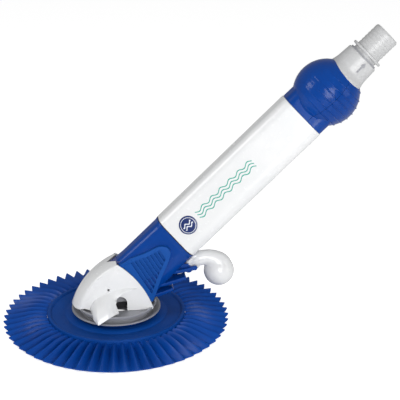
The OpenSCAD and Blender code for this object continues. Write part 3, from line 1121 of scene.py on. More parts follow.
@dataclass
class Head:
    """The white dolphin-shaped head: two shells, each with its flipper. Sizes in mm."""

    kit: FinishKit
    centre: tuple[float, float] = CROWN_ARC
    front: float = CROWN_RADIUS
    crown: float = 113.5
    chin: float = 165.5
    base: float = 30.1
    wall: float = 2.6
    notch_tip: float = -12.0
    notch_half: float = 11.0

    def half_width(self, x: float, z: float) -> float:
        """Distance of the side face from the symmetry plane.

        Args:
            x: place along X, in mm.
            z: height, in mm.

        Returns:
            The half width, in mm.
        """
        t = min(1.0, max(0.0, (z - 30) / 66))
        nose = max(0.0, -x) / 53
        return 31.0 - 8.6 * t**1.5 - 5.4 * nose * nose

    def rear_point(self, t: float) -> Vector:
        """Point of the side face's boundary: down the rear arc, then along the base.

        Args:
            t: share of its length, 0 to 1.

        Returns:
            The point in X and Z, in mm.
        """
        arc = arc_points(REAR_ARC, REAR_ARC_HEAD, 55.9, 17.0, 24)
        corner = [Vector((x, self.base)) for x in (48, 30, 10, -10, -30, -46, -51)]
        return along_points([*arc, *corner], t)

    def section(self, u: float, v: float) -> Vector:
        """Point at share u from crown to chin and share v from the ridge to the rear edge.

        Args:
            u: share from the crown to the chin.
            v: share from the ridge to the rear edge.

        Returns:
            The point, in mm.
        """
        angle = math.radians(mix(self.crown, self.chin, u))
        out = Vector((math.cos(angle), math.sin(angle)))
        half = mix(22.0, 24.6, u)
        bulge = mix(2.0, 8.2, u**1.3)
        centre = Vector(self.centre)
        edge = centre + out * self.front
        rear = self.rear_point(u**0.92)
        band_share, round_share = 0.30, 0.48

        def band(f: float) -> Vector:
            """Point of the crowned front band, a share f of its half width out.

            Args:
                f: share from 0 to 1.

            Returns:
                The point, in mm.
            """

            p = centre + out * (self.front + bulge * (1 - f * f))
            return Vector((p.x, half * f, p.y))

        def side(f: float) -> Vector:
            """Point of the side face, a share f of the way to the rear edge.

            Args:
                f: share from 0 to 1.

            Returns:
                The point, in mm.
            """

            p = edge.lerp(rear, f)
            width = self.half_width(p.x, p.y)
            return Vector((p.x, mix(half, width, smoothstep(min(1.0, f * 5))), p.y))

        length = max(6.0, (rear - edge).length)
        reach = min(3.6, length * 0.3)
        if v <= band_share:
            return band(v / band_share * (1 - reach / half))
        if v <= round_share:
            t = (v - band_share) / (round_share - band_share)
            a, b = band(1 - reach / half), side(reach / length)
            corner = Vector((edge.x, half + 0.5, edge.y))
            return a.lerp(corner, t).lerp(corner.lerp(b, t), t)
        return side(mix(reach / length, 1.0, (v - round_share) / (1 - round_share)))

    def skin(self) -> bpy.types.Object:
        """One side of the head as a walled shell, before its openings.

        Returns:
            The walled shell.
        """
        piece = surface("head_skin", 56, 64, self.section)
        if sum(f.normal.y * f.area for f in piece.data.polygons) < 0:
            piece.data.flip_normals()
        modify(piece, "SOLIDIFY", thickness=self.wall * MM, offset=-1.0, use_even_offset=False)
        return piece

    def flipper_point(self, u: float, v: float) -> Vector:
        """Point of the flipper: u from the nose end to the crest, v from the head to the free edge.

        Args:
            u: share from the nose end to the crest.
            v: share from the head to the free edge.

        Returns:
            The point, in mm.
        """
        top = [
            (-39, 26, 33), (-37, 26.6, 40), (-32, 27, 47), (-24, 27.2, 53), (-14, 27, 58),
            (0, 27, 62), (14, 27.2, 63.8), (28, 27.6, 62.6),
        ]
        free = [
            (-37.5, 30, 30.5), (-36.4, 40, 29.2), (-35.2, 50, 27.6), (-29.5, 62, 24.6),
            (-22.8, 60, 27.4), (-13.6, 57.6, 32.2), (-6.6, 52.5, 33.6), (1.4, 44.5, 32.8),
            (-2.2, 41.0, 36.6), (-5.0, 39.2, 42.0), (-4.4, 37.8, 48.0), (0.6, 36.0, 54.0),
            (9.0, 33.4, 58.8), (18.0, 31.0, 61.4), (28, 28.8, 62.4),
        ]
        share = [
            0.0, 0.07, 0.15, 0.25, 0.31, 0.40, 0.46, 0.53, 0.59, 0.65, 0.72, 0.80, 0.88, 0.94, 1.0,
        ]
        a = along_points([Vector(p) for p in top], u)
        k = max(i for i in range(len(share) - 1) if share[i] <= u)
        t = (u - share[k]) / (share[k + 1] - share[k])
        b = Vector(free[k]).lerp(Vector(free[k + 1]), t)
        rise = (b - a).length * mix(0.26, 0.12, smoothstep((u - 0.35) / 0.3))
        peak = a.lerp(b, 0.58) + Vector((-0.2, 0.75, 0.6)).normalized() * rise
        return a.lerp(peak, v).lerp(peak.lerp(b, v), v)

    def flipper(self) -> bpy.types.Object:
        """The flipper as a walled, rounded sheet.

        Returns:
            The walled flipper.
        """
        piece = surface("head_flipper", 120, 22, self.flipper_point)
        if sum(f.normal.y * f.area for f in piece.data.polygons) < 0:
            piece.data.flip_normals()
        modify(piece, "SMOOTH", factor=0.5, iterations=2)
        modify(piece, "SOLIDIFY", thickness=1.8 * MM, offset=-1.0, use_even_offset=False)
        soften(piece, 0.5, 2, 50)
        return piece

    def window_cutter(self) -> bpy.types.Object:
        """Arched window through the side."""
        outline = [Vector((-5.5, 20)), Vector((13.5, 20)), *arc_points((4, 41.5), 9.5, 0, 180, 20)]
        return prism("window_cutter", outline, -60, -20, side_matrix())

    def mouth_cutter(self) -> bpy.types.Object:
        """Low opening between the nose and the flipper, over the plate.

        Returns:
            The cutter.
        """
        corners = (
            (-62, 20), (-37, 20), (-37, 30.5), (-40, 33.2), (-46, 34.6), (-53, 33.6), (-62, 31.5),
        )
        outline = [Vector(p) for p in corners]
        return prism("mouth_cutter", outline, -60, -13, side_matrix())

    def notch_cutter(self) -> bpy.types.Object:
        """V-shaped notch in the crown.

        Returns:
            The cutter.
        """
        reach = 3.2
        half = self.notch_half * (reach - self.notch_tip) / 13.5
        outline = [Vector((self.notch_tip, 0)), Vector((reach, -half)), Vector((reach, half))]
        return prism("notch_cutter", outline, 80, 120, Matrix.Identity(4))

    def shell(self) -> bpy.types.Object:
        """The right shell with its openings and flipper.

        Returns:
            The right shell.
        """
        skin = self.skin()
        cut(skin, self.notch_cutter(), solver="FAST")
        cut(skin, self.window_cutter(), solver="FAST")
        cut(skin, self.mouth_cutter(), solver="FAST")
        hole = arc_points((-12, 61.5), 1.8, 0, 345, 23)
        pin = prism("pin_cutter", hole, -60, -20, side_matrix())
        cut(skin, pin, solver="FAST")
        return join("head_shell_side", [skin, self.flipper()])

    def build(self) -> list[bpy.types.Object]:
        """Both shells.

        Returns:
            The right and the left shell.
        """
        right = self.shell()
        right.name = "head_cover_right"
        left = mirrored(right, "head_cover_left")
        white = self.kit.get("white_gloss")
        for piece, node in ((right, "head_shell_right"), (left, "head_shell_left")):
            finish_piece(piece, "head", "white_plastic", white, Shading.SOFT, node)
        return [right, left]


# ---- shroud --------------------------------------------------------------


@dataclass
class Shroud:
    """The blue shroud between head and tube, its spine, pads and louvres. Sizes in mm."""

    kit: FinishKit
    lip: float = 121.0
    wall: float = 2.4
    upper: Keystone = Keystone((14.0, 19.5), (-22.0, 5.0), 15.0)
    lower: Keystone = Keystone((23.0, 13.0), (-26.0, 3.5), 12.0)
    pad_slope: float = 0.2288
    pad_fall: float = 0.052
    pad_rise: float = 1.6
    slots: int = 8
    slot_turn: float = 12.0
    blade: float = 5.2

    def skin(self) -> bpy.types.Object:
        """Hollow body of the shroud, cut off along the head's rear arc.

        Returns:
            The shroud's body.
        """
        start = 8.0
        count = len(self.upper.outline())
        stations = 28
        last = 2 * stations + 2

        def place(u: float, v: float) -> Vector:
            """Outer face up to the lip, then the inner face back down.

            Args:
                u: share in the first direction, 0 to 1.
                v: share in the second direction, 0 to 1.

            Returns:
                The point, in mm.
            """

            k = round(v * last) % last
            inner = k > stations
            t = (last - 1 - k) / stations if inner else k / stations
            s = mix(start, self.lip, t)
            form = self.upper.scaled(1 - smoothstep(t) * 0.5 - t * 0.5, self.lower)
            flare = 0.9 * max(0.0, (t - 0.965) / 0.035)
            p = form.outline(-self.wall if inner else flare)[round(u * count) % count]
            return AXIS.place(p.x, p.y, s)

        piece = surface("shroud_body", count, last, place)
        cut(piece, arc_cutter("rear_cutter", REAR_ARC_SHROUD))
        cut(piece, block("base_cutter", (-200, -200, -200), (300, 200, 33), Matrix.Identity(4)))
        slot = block("rear_slot_cutter", (20, -7, 20), (60, 7, 70), AXIS.matrix)
        cut(piece, slot)
        soften(piece, 0.5, 2, 40)
        return piece

    def spine(self) -> bpy.types.Object:
        """Blue wedge that fills the notch in the head's crown; its finish is greyed by a painted
        sheen.

        Returns:
            The wedge.
        """

        def place(u: float, v: float) -> Vector:
            """Point on the crown's arc: u along the notch, v across it.

            Args:
                u: share in the first direction, 0 to 1.
                v: share in the second direction, 0 to 1.

            Returns:
                The point, in mm.
            """

            x = mix(-11.2, 6.0, u)
            half = 11.2 * (x + 12.0) / 13.5 if x < 1.5 else mix(11.2, 12.5, (x - 1.5) / 4.5)
            y = mix(-half, half, v)
            rise = math.sqrt(max(0.0, CROWN_RADIUS**2 - (x - CROWN_ARC[0]) ** 2))
            crest = rise + CROWN_ARC[1]
            z = crest + 0.2 - 1.2 * (y / 12) ** 2
            return Vector((x, y, z))

        piece = surface("crown_spine", 16, 14, place)
        if piece.data.polygons[0].normal.z < 0:
            piece.data.flip_normals()
        modify(piece, "SOLIDIFY", thickness=2.4 * MM, offset=-1.0)
        return piece

    def pad_frame(self) -> Matrix:
        """Frame of the near pad: local X and Y in its plane, local Z outwards.

        Returns:
            Transform from that frame to the row frame, in mm.
        """
        normal = Vector((-self.pad_slope, -1.0, self.pad_fall)).normalized()
        origin = Vector((3.0, -16.0 - self.pad_rise, 98.5))
        across = Vector((1, -self.pad_slope, 0)).normalized()
        up = normal.cross(across).normalized()
        basis = Matrix((across, up, normal)).transposed().to_4x4()
        return Matrix.Translation(origin) @ basis

    def pad_outline(self, inset: float = 0.0) -> list[Vector]:
        """Outline of the pad in its own plane, from X-Z points, shrunk by inset.

        Args:
            inset: how far it is shrunk, in mm.

        Returns:
            Points of the closed outline.
        """
        frame = self.pad_frame().inverted()
        corners = [
            (4.2, 93.4), (19.8, 104.6), (40, 113), (60, 124.5), (70, 124), (76, 116), (73, 104),
            (62, 77), (50.5, 42.0), (47.5, 41.5), *self.rear_edge(),
        ]
        flat = []
        for x, z in corners:
            y = -16.0 - self.pad_slope * (x - 3) + self.pad_fall * (z - 98.5)
            p = frame @ Vector((x, y, z))
            flat.append(Vector((p.x, p.y)))
        flat.reverse()
        if inset:
            flat = self.shrunk(flat, inset)
        return rounded(flat, 4.0 if not inset else 2.0, 4)

    def rear_edge(self) -> list[tuple[float, float]]:
        """Points just behind the head's rear arc, upwards."""
        return [(p.x, p.y) for p in arc_points(REAR_ARC, REAR_ARC_PAD, 25.0, 51.5, 8)]

    def facet(self) -> bpy.types.Object:
        """Facet that folds the pad's upper end in towards the ridge.

        Returns:
            The facet.
        """
        low_edge = Vector((3.4, -2.5, 95.4)), Vector((4.0, -20.2, 92.6))
        high_edge = Vector((26.0, -13.0, 105.0)), Vector((20.4, -23.4, 103.4))

        def place(u: float, v: float) -> Vector:
            """Point between the low and the high edge.

            Args:
                u: share in the first direction, 0 to 1.
                v: share in the second direction, 0 to 1.

            Returns:
                The point, in mm.
            """

            return low_edge[0].lerp(low_edge[1], v).lerp(high_edge[0].lerp(high_edge[1], v), u)

        piece = surface("pad_facet", 10, 8, place)
        if piece.data.polygons[0].normal.z < 0:
            piece.data.flip_normals()
        modify(piece, "SOLIDIFY", thickness=3.0 * MM, offset=-1.0)
        soften(piece, 0.5, 2, 50)
        return piece

    @staticmethod
    def strip(points: Sequence[Vector], direction: Vector, low: float, high: float) -> list[Vector]:
        """Part of an outline between two lines across direction.

        Args:
            points: the closed outline.
            direction: unit direction across the two lines.
            low: where the first line stands along it.
            high: where the second line stands along it.

        Returns:
            The part between the lines.
        """
        kept = list(points)
        for sign, limit in ((1.0, low), (-1.0, -high)):
            out = []
            for i, q in enumerate(kept):
                p = kept[i - 1]
                dp, dq = sign * p.dot(direction) - limit, sign * q.dot(direction) - limit
                if (dp < 0) != (dq < 0):
                    out.append(p.lerp(q, dp / (dp - dq)))
                if dq >= 0:
                    out.append(q)
            kept = out
        return kept

    @staticmethod
    def shrunk(points: Sequence[Vector], inset: float) -> list[Vector]:
        """Outline moved inwards by inset at each corner.

        Args:
            points: the closed outline.
            inset: distance in mm.

        Returns:
            The smaller outline.
        """
        out = []
        n = len(points)
        area = sum(a.x * b.y - b.x * a.y for a, b in zip(points, [*points[1:], points[0]]))
        sign = 1.0 if area > 0 else -1.0
        for i, p in enumerate(points):
            d0 = (p - points[i - 1]).normalized()
            d1 = (points[(i + 1) % n] - p).normalized()
            n0 = Vector((-d0.y, d0.x)) * sign
            n1 = Vector((-d1.y, d1.x)) * sign
            bisector = (n0 + n1).normalized()
            out.append(p + bisector * min(inset * 1.9, inset / max(0.3, bisector.dot(n0))))
        return out

    def pad(self) -> bpy.types.Object:
        """The near pad: a raised plate with a soft rim and eight recessed slots.

        Returns:
            The near pad.
        """
        frame = self.pad_frame()
        plate = prism("pad_plate", self.pad_outline(), -6.5, 1.0, frame)
        soften(plate, 0.9, 3, 50)
        inner = self.pad_outline(5.4)
        along = frame.to_3x3().inverted() @ AXIS.matrix.to_3x3() @ Vector((0, 0, 1))
        turn = Matrix.Rotation(math.radians(-self.slot_turn), 2)
        direction = (turn @ Vector((along.x, along.y))).normalized()
        low = min(p.dot(direction) for p in inner)
        high = max(p.dot(direction) for p in inner)
        start = mix(low, high, 0.14)
        pitch = (mix(low, high, 0.93) - start) / self.slots
        for i in range(self.slots):
            a = start + i * pitch
            slot = self.strip(inner, direction, a, a + 0.70 * pitch)
            cut(plate, prism(f"slot_cutter_{i}", slot, -2.2, 4.0, frame))
        return join("pad", [plate, self.facet()])

    def louvre(
        self,
        index: int,
        start: tuple[float, float],
        end: tuple[float, float],
        half: float,
        end_half: float,
        roll: float,
    ) -> bpy.types.Object:
        """One louvre: a thick blade that narrows a little and ends in a rolled lip.

        Args:
            index: its number, from the top.
            start: its root in X and Z, in mm.
            end: its tip in X and Z, in mm.
            half: half its width at the root.
            end_half: half its width at the tip.
            roll: radius of the rolled lip.

        Returns:
            The louvre.
        """
        a, b = Vector(start), Vector(end)
        along = (b - a).normalized()
        up = Vector((-along.y, along.x))
        lip = b - along * roll + up * (roll - 0.6)
        end_under = b - along * roll * 1.4
        under = [
            a.lerp(end_under, t) - up * (1.3 * math.sin(math.pi * t))
            for t in (0, 0.25, 0.5, 0.75, 1)
        ]
        heading = math.degrees(math.atan2(along.y, along.x))
        curl = arc_points((lip.x, lip.y), roll, heading - 75, heading + 115, 9)
        over = [p + up * self.blade for p in reversed(under[:-1])]
        piece = prism(f"louvre_{index}", [*under, *curl, *over], -half, half, side_matrix())
        for vert in piece.data.vertices:
            share = min(1.0, max(0.0, (vert.co.x / MM - a.x) / (b.x - a.x)))
            vert.co.y *= mix(1.0, end_half / half, share)
        soften(piece, 1.1, 3, 50)
        return piece

    def louvres(self) -> bpy.types.Object:
        """The three rear louvres, cut for the rail and for the float's arm.

        Returns:
            The three louvres as one piece.
        """
        blades = [
            self.louvre(1, (58, 77.6), (115.4, 77.9), 24, 13.4, 3.6),
            self.louvre(2, (54, 60.4), (99.0, 66.6), 28, 19, 2.9),
            self.louvre(3, (52, 45.4), (81, 51.0), 26, 19, 2.6),
        ]
        for blade in blades:
            cut(blade, block("rail_cutter", (41.2, -5.3, 30), (47.8, 5.3, 100), AXIS.matrix))
        for start, half in ((86, 8.8), (106, 11.3)):
            low, high = (start, -half, 70), (146, half, 114)
            cut(blades[0], block("arm_cutter", low, high, Matrix.Identity(4)))
        return join("rear_louvres", blades)

    def build(self) -> list[bpy.types.Object]:
        """All pieces of the shroud.

        Returns:
            Body, spine, pads and louvres.
        """
        blue, grip = self.kit.get("blue_shell"), self.kit.get("blue_grip")
        body = self.skin()
        finish_piece(body, "head", "blue_plastic", blue, Shading.CRISP, "shroud")
        # The spine gets blue plastic greyed by a painted sheen.
        grey = self.kit.get("spine_painted_sheen")
        spine = finish_piece(self.spine(), "head", "blue_plastic", grey, Shading.SOFT)
        left = self.pad()
        left.name = "grip_pad_left"
        right = mirrored(left, "grip_pad_right")
        finish_piece(left, "head", "blue_satin", grip, Shading.CRISP, "side_pad_left")
        finish_piece(right, "head", "blue_satin", grip, Shading.CRISP, "side_pad_right")
        fins = self.louvres()
        finish_piece(fins, "head", "blue_plastic", blue, Shading.CRISP, "rear_fins")
        return [body, spine, left, right, fins]


# ---- tube, ball, neck ----------------------------------------------------


@dataclass
class Tube:
    """The white tube with its badges. Sizes in mm."""

    kit: FinishKit
    start: float = 122.2
    end: float = 364.8
    wall: float = 2.6
    section: Keystone = Keystone()
    badge_s: float = 149.0

    def sleeve(self) -> bpy.types.Object:
        """The tube itself, its two rims rounded.

        Returns:
            The sleeve.
        """
        w, a, b = self.wall, self.start, self.end
        rows = [mix(a + 2, b - 2, i / 12) for i in range(13)]
        profile = [
            (-w, a), (-0.7, a), (-0.2, a + 0.25), (0.0, a + 0.8), *[(0.0, s) for s in rows],
            (0.0, b - 0.8), (-0.2, b - 0.25), (-0.7, b), (-w, b),
        ]
        piece = keystone_sweep("tube_sleeve", self.section, profile)
        return finish_piece(
            piece, "head", "white_plastic", self.kit.get("tube_white"), Shading.SOFT, "outer_tube"
        )

    def badge(self, side: Side) -> bpy.types.Object:
        """Domed round badge on a side face.

        Args:
            side: the side face that it sits on.

        Returns:
            The badge.
        """
        low, top = Vector(self.section.low), Vector(self.section.top)
        middle = (low + top) / 2
        angle = math.atan2(low.y - top.y, low.x - top.x)
        face = (
            AXIS.matrix
            @ Matrix.Translation((middle.x, side.value * middle.y, self.badge_s))
            @ Matrix.Rotation(side.value * (math.pi / 2 + angle), 4, "Z")
            @ Matrix.Translation((self.section.radius, 0, 0))
            @ Matrix.Rotation(math.pi / 2, 4, "Y")
        )
        profile = [
            (0.0, 0.1), (13.0, 0.1), (13.0, 0.5), (12.7, 0.8), (12.0, 0.95), (6.0, 1.0), (0.0, 1.0),
        ]
        label = side.name.lower()
        piece = lathe(f"badge_disc_{label}", profile, 72, face)
        wave = self.kit.get("wave_badge")
        return finish_piece(piece, "head", "badge_print", wave, Shading.CRISP, f"badge_{label}")

    def build(self) -> list[bpy.types.Object]:
        """The tube and both badges."""
        return [self.sleeve(), self.badge(Side.LEFT), self.badge(Side.RIGHT)]


@dataclass
class Ball:
    """The ribbed ball in two shells with its keystone collar, and the white neck. Sizes in mm."""

    kit: FinishKit
    radius: float = 46.0
    middle: float = 410.0
    neck_middle: float = 412.0
    neck_saddle: float = 44.8
    arrow_rise: float = 54.5
    collar: float = 365.0
    wall: float = 3.0
    pitch: float = 9.4
    ribs: int = 8
    section: Keystone = Keystone()

    def rib_height(self, s: float) -> float:
        """How far the ribbed surface stands above the plain ball at s from its middle.

        Args:
            s: distance along the axis, in mm.

        Returns:
            The height, in mm.
        """
        nearest = min(abs(s - (i - (self.ribs - 1) / 2) * self.pitch) for i in range(self.ribs))
        return 1.15 * (1 - smoothstep((nearest - 0.4) / 0.7))

    def sphere(self) -> bpy.types.Object:
        """Closed ball shell with its ribs; the mouth for the neck is a saddle.

        Returns:
            The closed shell.
        """
        steps = 150
        last = 2 * steps + 2

        def place(u: float, v: float) -> Vector:
            """Outer face up to the mouth, then the inner face back.

            Args:
                u: share in the first direction, 0 to 1.
                v: share in the second direction, 0 to 1.

            Returns:
                The point, in mm.
            """

            k = round(v * last) % last
            inner = k > steps
            t = (last - 1 - k) / steps if inner else k / steps
            turn = math.tau * u
            rim = 38.6 - 6.0 * math.sin(turn) ** 2
            s = mix(-self.radius + 0.4, rim, t)
            radius = self.radius - (self.wall if inner else 0.0)
            flat = math.sqrt(max(0.0, radius * radius - s * s)) if abs(s) < radius else 0.0
            if not inner:
                fade = min(1.0, flat / 20) * mix(0.1, 1.0, smoothstep(math.cos(turn) + 1.0))
                flat += self.rib_height(s) * fade
            return AXIS.place(flat * math.cos(turn), flat * math.sin(turn), self.middle + s)

        return surface("ball_shell", 96, last, place)

    def sleeve(self) -> bpy.types.Object:
        """Collar of keystone section that runs into the ball.

        Returns:
            The collar.
        """
        low, high = self.collar, self.collar + 30
        profile = [(-4.0, low), (-1.5, low), (-1.0, low + 0.6), (-1.0, high), (-4.0, high)]
        return keystone_sweep("ball_collar", self.section, profile)

    def shells(self) -> list[bpy.types.Object]:
        """Upper and lower shell, split along the seam plane.

        Returns:
            The upper and the lower shell.
        """
        whole = self.sphere()
        cut(whole, self.sleeve(), "UNION")
        down = (AXIS.place(1, 0, 0) - AXIS.place(0, 0, 0)).normalized()
        blue = self.kit.get("blue_shell")
        made = []
        for label, way in (("upper", 1.0), ("lower", -1.0)):
            copy = whole.copy()
            copy.data = whole.data.copy()
            bpy.context.scene.collection.objects.link(copy)
            copy.name = copy.data.name = f"ball_half_{label}"
            bisect(copy, AXIS.place(-0.2 * way, 0, self.middle), down * way)
            node = f"ball_shell_{label}"
            made.append(finish_piece(copy, "head", "blue_plastic", blue, Shading.CRISP, node))
        bpy.data.objects.remove(whole, do_unlink=True)
        return made

    def neck(self) -> bpy.types.Object:
        """White neck whose foot spreads to a saddle on the ball.

        Returns:
            The neck.
        """
        steps = 26

        def place(u: float, v: float) -> Vector:
            """Outer face, rim and bore as one closed loop, turned by the share u.

            Args:
                u: share in the first direction, 0 to 1.
                v: share in the second direction, 0 to 1.

            Returns:
                The point, in mm.
            """

            turn = math.tau * u
            rim = 36.9 - 6.0 * math.sin(turn) ** 2
            loop: list[tuple[float, float]] = []
            for i in range(steps + 1):
                t = i / steps
                s = mix(rim - 1.2, 64.4, t)
                base = math.sqrt(max(0.0, self.neck_saddle**2 - rim**2))
                spread = max(0.0, base - 25.6) * (1 - smoothstep(t * 2.6))
                loop.append((mix(26.0, 24.4, t) + spread, s))
            loop += [(24.1, 65.4), (23.4, 66.0), (20.2, 66.0), (19.4, 65.4), (19.4, 50.0)]
            loop += [(22.0, 44.0), (22.0, rim - 1.2)]
            loop.append(loop[0])
            r, s = loop[round(v * (len(loop) - 1))]
            return AXIS.place(r * math.cos(turn), r * math.sin(turn), self.neck_middle + s)

        piece = surface("neck_cone", 96, steps + 8, place)
        # The neck's white is darkened by painted shade.
        white = self.kit.get("white_painted_shade")
        return finish_piece(piece, "head", "white_plastic", white, Shading.SOFT, "neck")

    def flow_arrow(self) -> bpy.types.Object:
        """Small moulded arrow on the neck that points along the flow, coloured grey as painted
        shade.

        Returns:
            The arrow.
        """
        corners = (
            (-1.2, -8.5), (1.2, -8.5), (1.2, 2), (3.2, 2), (0, 8.5), (-3.2, 2), (-1.2, 2),
        )
        shape = [Vector(p) for p in corners]
        stand = Matrix(((0, 0, 1, 0), (1, 0, 0, 0), (0, 1, 0, 0), (0, 0, 0, 1)))
        face = (
            AXIS.matrix
            @ Matrix.Translation((0, 0, self.neck_middle + self.arrow_rise))
            @ Matrix.Rotation(math.radians(-90), 4, "Z")
            @ Matrix.Translation((25.2, 0, 0))
            @ stand
        )
        piece = prism("flow_arrow", shape, -0.8, 0.5, face)
        soften(piece, 0.2, 1, 30)
        # Grey stands in for the shade on the arrow's raised edges: painted shade on a moulded mark.
        grey = self.kit.get("grey_satin")
        return finish_piece(piece, "head", "grey_plastic", grey, Shading.FLAT)

    def build(self) -> list[bpy.types.Object]:
        """Ball shells, neck and arrow."""
        return [*self.shells(), self.neck(), self.flow_arrow()]


@dataclass
class Spigot:
    """The swivelling hose spigot with its flange ring and rounded end. Sizes in mm."""

    kit: FinishKit
    radius: float = 19.0
    bore: float = 15.5
    start: float = 462.0
    flange: float = 484.0
    tip: float = 524.0

    def build(self) -> list[bpy.types.Object]:
        """The spigot, turned in one piece.

        Returns:
            The spigot, alone in a list.
        """
        r, b, f, tip = self.radius, self.bore, self.flange, self.tip
        profile = [
            (b, self.start), (r - 0.2, self.start), (r - 0.2, f), (23.2, f), (24.0, f + 0.4),
            (24.3, f + 1.2), (24.3, f + 2.4), (24.0, f + 3.2), (23.2, f + 3.6), (r + 0.6, f + 3.6),
            (r, f + 4.2),
        ]
        s = self.flange + 5.2
        while s < tip - 7:
            profile += [
                (r, s), (r, s + 2.4), (r - 0.45, s + 2.9), (r - 0.45, s + 4.3), (r, s + 4.8),
            ]
            s += 5.6
        profile += [
            (r, tip - 3.2), (r - 0.5, tip - 1.4), (r - 1.5, tip - 0.3), (r - 2.0, tip),
            (b + 0.4, tip), (b, tip - 0.6),
        ]
        piece = lathe("hose_spigot_turned", profile, 96, AXIS.matrix)
        # The spigot's white is darkened by painted shade.
        white = self.kit.get("white_painted_shade")
        finish_piece(piece, "spigot", "white_plastic", white, Shading.CRISP, "hose_spigot")
        return [piece]


@dataclass
class Float:
    """The white comma-shaped float: an arm that curls into a round bulb. Sizes in mm."""

    kit: FinishKit
    bulb: tuple[float, float] = (147.7, 70.3)
    bulb_r: float = 21.8
    foot_half: float = 7.4
    voxel: float = 1.3

    @staticmethod
    def ball(name: str, x: float, z: float, radius: float, segments: int) -> bpy.types.Object:
        """Sphere on the symmetry plane, a start for the float's form.

        Args:
            name: name of the sphere.
            x: its place, in mm.
            z: its height, in mm.
            radius: its radius, in mm.
            segments: steps round it; it has half as many rings.

        Returns:
            The sphere, with its place in its mesh.
        """
        deselect()
        bpy.ops.mesh.primitive_uv_sphere_add(
            segments=segments,
            ring_count=segments // 2,
            radius=radius * MM,
            location=(x * MM, 0, z * MM),
        )
        bpy.ops.object.transform_apply(location=True, rotation=False, scale=False)
        return named(name)

    def build(self) -> list[bpy.types.Object]:
        """The float as one smooth closed form.

        Returns:
            The float, alone in a list.
        """
        knots = [
            (112, 87.2, 9.0), (115.5, 89.0, 10.4), (119.5, 90.2, 11.0), (123.5, 91.0, 11.0),
            (127.5, 91.3, 11.0), (131, 91.1, 11.3), (134.5, 90.4, 11.8), (138, 89.0, 12.5),
            (141, 87.3, 13.3), (144, 85.0, 14.4), (146.5, 82.5, 15.6), (148.2, 79.5, 16.9),
            (149, 76.5, 18.0), (149.2, 73.0, 19.0),
        ]
        parts = [self.ball(f"float_knot_{i}", *knot, 32) for i, knot in enumerate(knots)]
        parts.append(self.ball("float_bulb", *self.bulb, self.bulb_r, 64))
        piece = join("float_body", parts)
        modify(piece, "REMESH", mode="VOXEL", voxel_size=self.voxel * MM)
        modify(piece, "SMOOTH", factor=0.6, iterations=14)
        corners = (
            (99.4, 86.4), (100.8, 75.0), (105.2, 72.8), (119, 78.4), (122, 98), (112, 98.5),
            (108.4, 96.0),
        )
        foot = [Vector(p) for p in corners]
        root = prism("float_foot", foot, -self.foot_half, self.foot_half, side_matrix())
        soften(root, 1.6, 3, 50)
        cut(piece, root, "UNION")
        finish_piece(
            piece, "float", "white_plastic", self.kit.get("white_gloss"), Shading.ROUND,
            "float_shell_left", "float_shell_right",
        )
        return [piece]


# ---- carried-over pieces -------------------------------------------------

CAD_FINISHES: dict[str, str] = {
    "foot_pad": "black_rubber",
    "foot_base": "grey_satin",
    "foot_ring": "grey_satin",
    "foot_screws": "steel",
    "skirt_hub": "blue_shell",
    "swivel_plate": "grey_satin",
    "swivel_clip": "grey_satin",
    "intake_seal": "black_rubber",
    "throat_block": "grey_satin",
    "ballast_weight": "steel",
    "hammer": "blue_grip",
    "hammer_pads": "black_rubber",
    "hammer_pin": "steel",
    "pin_bushes": "acetal",
    "shell_screws": "steel",
    "back_rail": "white_gloss",
    "tube_gasket": "black_rubber",
    "flow_tube_left": "grey_satin",
    "flow_tube_right": "grey_satin",
    "buoyancy_foam": "foam",
    "top_manifold": "grey_satin",
    "neck_seal": "grey_satin",
    "spigot_clip": "grey_satin",
    "float_pin": "steel",
    "float_bracket": "blue_shell",
}


def dress_cad(nodes: dict[str, bpy.types.Object], kit: FinishKit) -> None:
    """Gives each carried-over CAD node its finish.

    Args:
        nodes: CAD nodes by name.
        kit: the finishes.
    """
    for node, finish in CAD_FINISHES.items():
        data = nodes[node].data
        data.materials.clear()
        data.materials.append(kit.get(finish))
        log.info("%s: dressed in %s", node, finish)


# ---- studio --------------------------------------------------------------


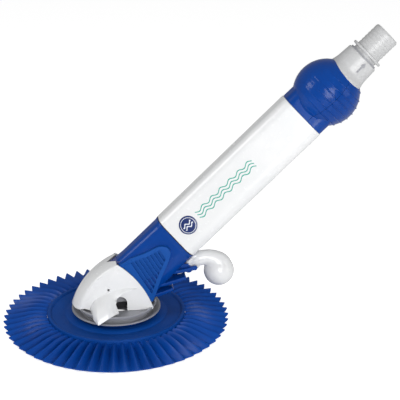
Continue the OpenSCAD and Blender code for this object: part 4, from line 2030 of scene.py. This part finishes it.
@dataclass
class Studio:
    """Camera, pale floor and soft lights. Distances in metres."""

    azimuth: float = -8.0
    elevation: float = 21.2
    distance: float = 1.680
    lens: float = 109.7
    shift_right: float = 0.1194
    aim_height: float = 0.1851

    def camera(self) -> bpy.types.Object:
        """The camera at the object's viewing angle.

        Returns:
            The scene's camera.
        """
        a, e = math.radians(self.azimuth), math.radians(self.elevation)
        back = Vector((math.sin(a) * math.cos(e), -math.cos(a) * math.cos(e), math.sin(e)))
        right = Vector((math.cos(a), math.sin(a), 0))
        data = bpy.data.cameras.new("camera")
        data.lens, data.sensor_width = self.lens, 36.0
        data.clip_start, data.clip_end = 0.05, 50.0
        data.dof.use_dof = False
        cam = bpy.data.objects.new("camera", data)
        bpy.context.scene.collection.objects.link(cam)
        target = right * self.shift_right + Vector((0, 0, self.aim_height))
        cam.location = target + back * self.distance
        cam.rotation_mode = "QUATERNION"
        cam.rotation_quaternion = (-back).to_track_quat("-Z", "Y")
        bpy.context.scene.camera = cam
        return cam

    def floor(self) -> bpy.types.Object:
        """Plain pale floor.

        Returns:
            The floor.
        """
        deselect()
        bpy.ops.mesh.primitive_plane_add(size=14)
        plane = named("studio_floor")
        material = bpy.data.materials.new("pale_floor")
        material.use_nodes = True
        shader = material.node_tree.nodes["Principled BSDF"]
        shader.inputs["Base Color"].default_value = (0.9, 0.9, 0.9, 1)
        shader.inputs["Roughness"].default_value = 0.9
        shader.inputs["Specular IOR Level"].default_value = 0.1
        shader.inputs["Emission Color"].default_value = (1, 1, 1, 1)
        desk = NodeDesk(material.node_tree)
        seen = desk.add("ShaderNodeLightPath").outputs["Is Camera Ray"]
        glow = desk.math("ADD", desk.math("MULTIPLY", seen, 0.55), 0.1)
        desk.link(glow, shader.inputs["Emission Strength"])
        plane.data.materials.append(material)
        plane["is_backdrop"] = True
        return plane

    def lamp(
        self,
        name: str,
        power: float,
        size: float,
        place: Sequence[float],
        aim: Sequence[float],
    ) -> None:
        """Soft square light at place, turned to aim.

        Args:
            name: name of the light.
            power: its power in watts.
            size: its side in metres.
            place: where it stands, in metres.
            aim: the point that it faces.
        """
        data = bpy.data.lights.new(name, "AREA")
        data.energy, data.size = power, size
        lamp = bpy.data.objects.new(name, data)
        bpy.context.scene.collection.objects.link(lamp)
        lamp.location = place
        lamp.rotation_mode = "QUATERNION"
        lamp.rotation_quaternion = (Vector(aim) - Vector(place)).to_track_quat("-Z", "Y")

    def light(self) -> None:
        """White surroundings and three soft lights."""
        world = bpy.data.worlds.new("studio")
        world.use_nodes = True
        desk = NodeDesk(world.node_tree)
        background = world.node_tree.nodes["Background"]
        background.inputs["Color"].default_value = (1, 1, 1, 1)
        seen = desk.add("ShaderNodeLightPath").outputs["Is Camera Ray"]
        strength = desk.math("ADD", desk.math("MULTIPLY", seen, 0.66), 0.34)
        desk.link(strength, background.inputs["Strength"])
        bpy.context.scene.world = world
        aim = (0.1, 0, 0.15)
        self.lamp("key", 19, 1.0, (0.25, -1.7, 0.7), aim)
        self.lamp("ridge", 5.5, 0.6, (-1.15, -0.25, 1.15), aim)
        self.lamp("side", 1.4, 0.6, (1.4, -0.7, 0.5), aim)
        bpy.context.scene.view_settings.view_transform = "Standard"
        bpy.context.scene.view_settings.look = "None"


# ---- main ----------------------------------------------------------------


def corners(box: tuple[Vector, Vector]) -> list[list[float]]:
    """A box as two plain lists of numbers."""
    return [list(box[0]), list(box[1])]


def main() -> None:
    """Builds the cleaner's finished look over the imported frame."""
    logging.basicConfig(level=logging.INFO, format="%(name)s %(message)s")
    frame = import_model()
    cad_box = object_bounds()
    studio = Studio()
    studio.camera()
    studio.floor()
    studio.light()
    kit = FinishKit()
    dress_cad(frame["nodes"], kit)
    assemblies = (Skirt(kit), Head(kit), Shroud(kit), Tube(kit), Ball(kit), Spigot(kit), Float(kit))
    for assembly in assemblies:
        pieces = assembly.build()
        log.info("%s: %d pieces", type(assembly).__name__, len(pieces))
    deselect()
    {"cad": corners(cad_box), "visual": corners(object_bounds())}


if __name__ == "__main__":
    main()
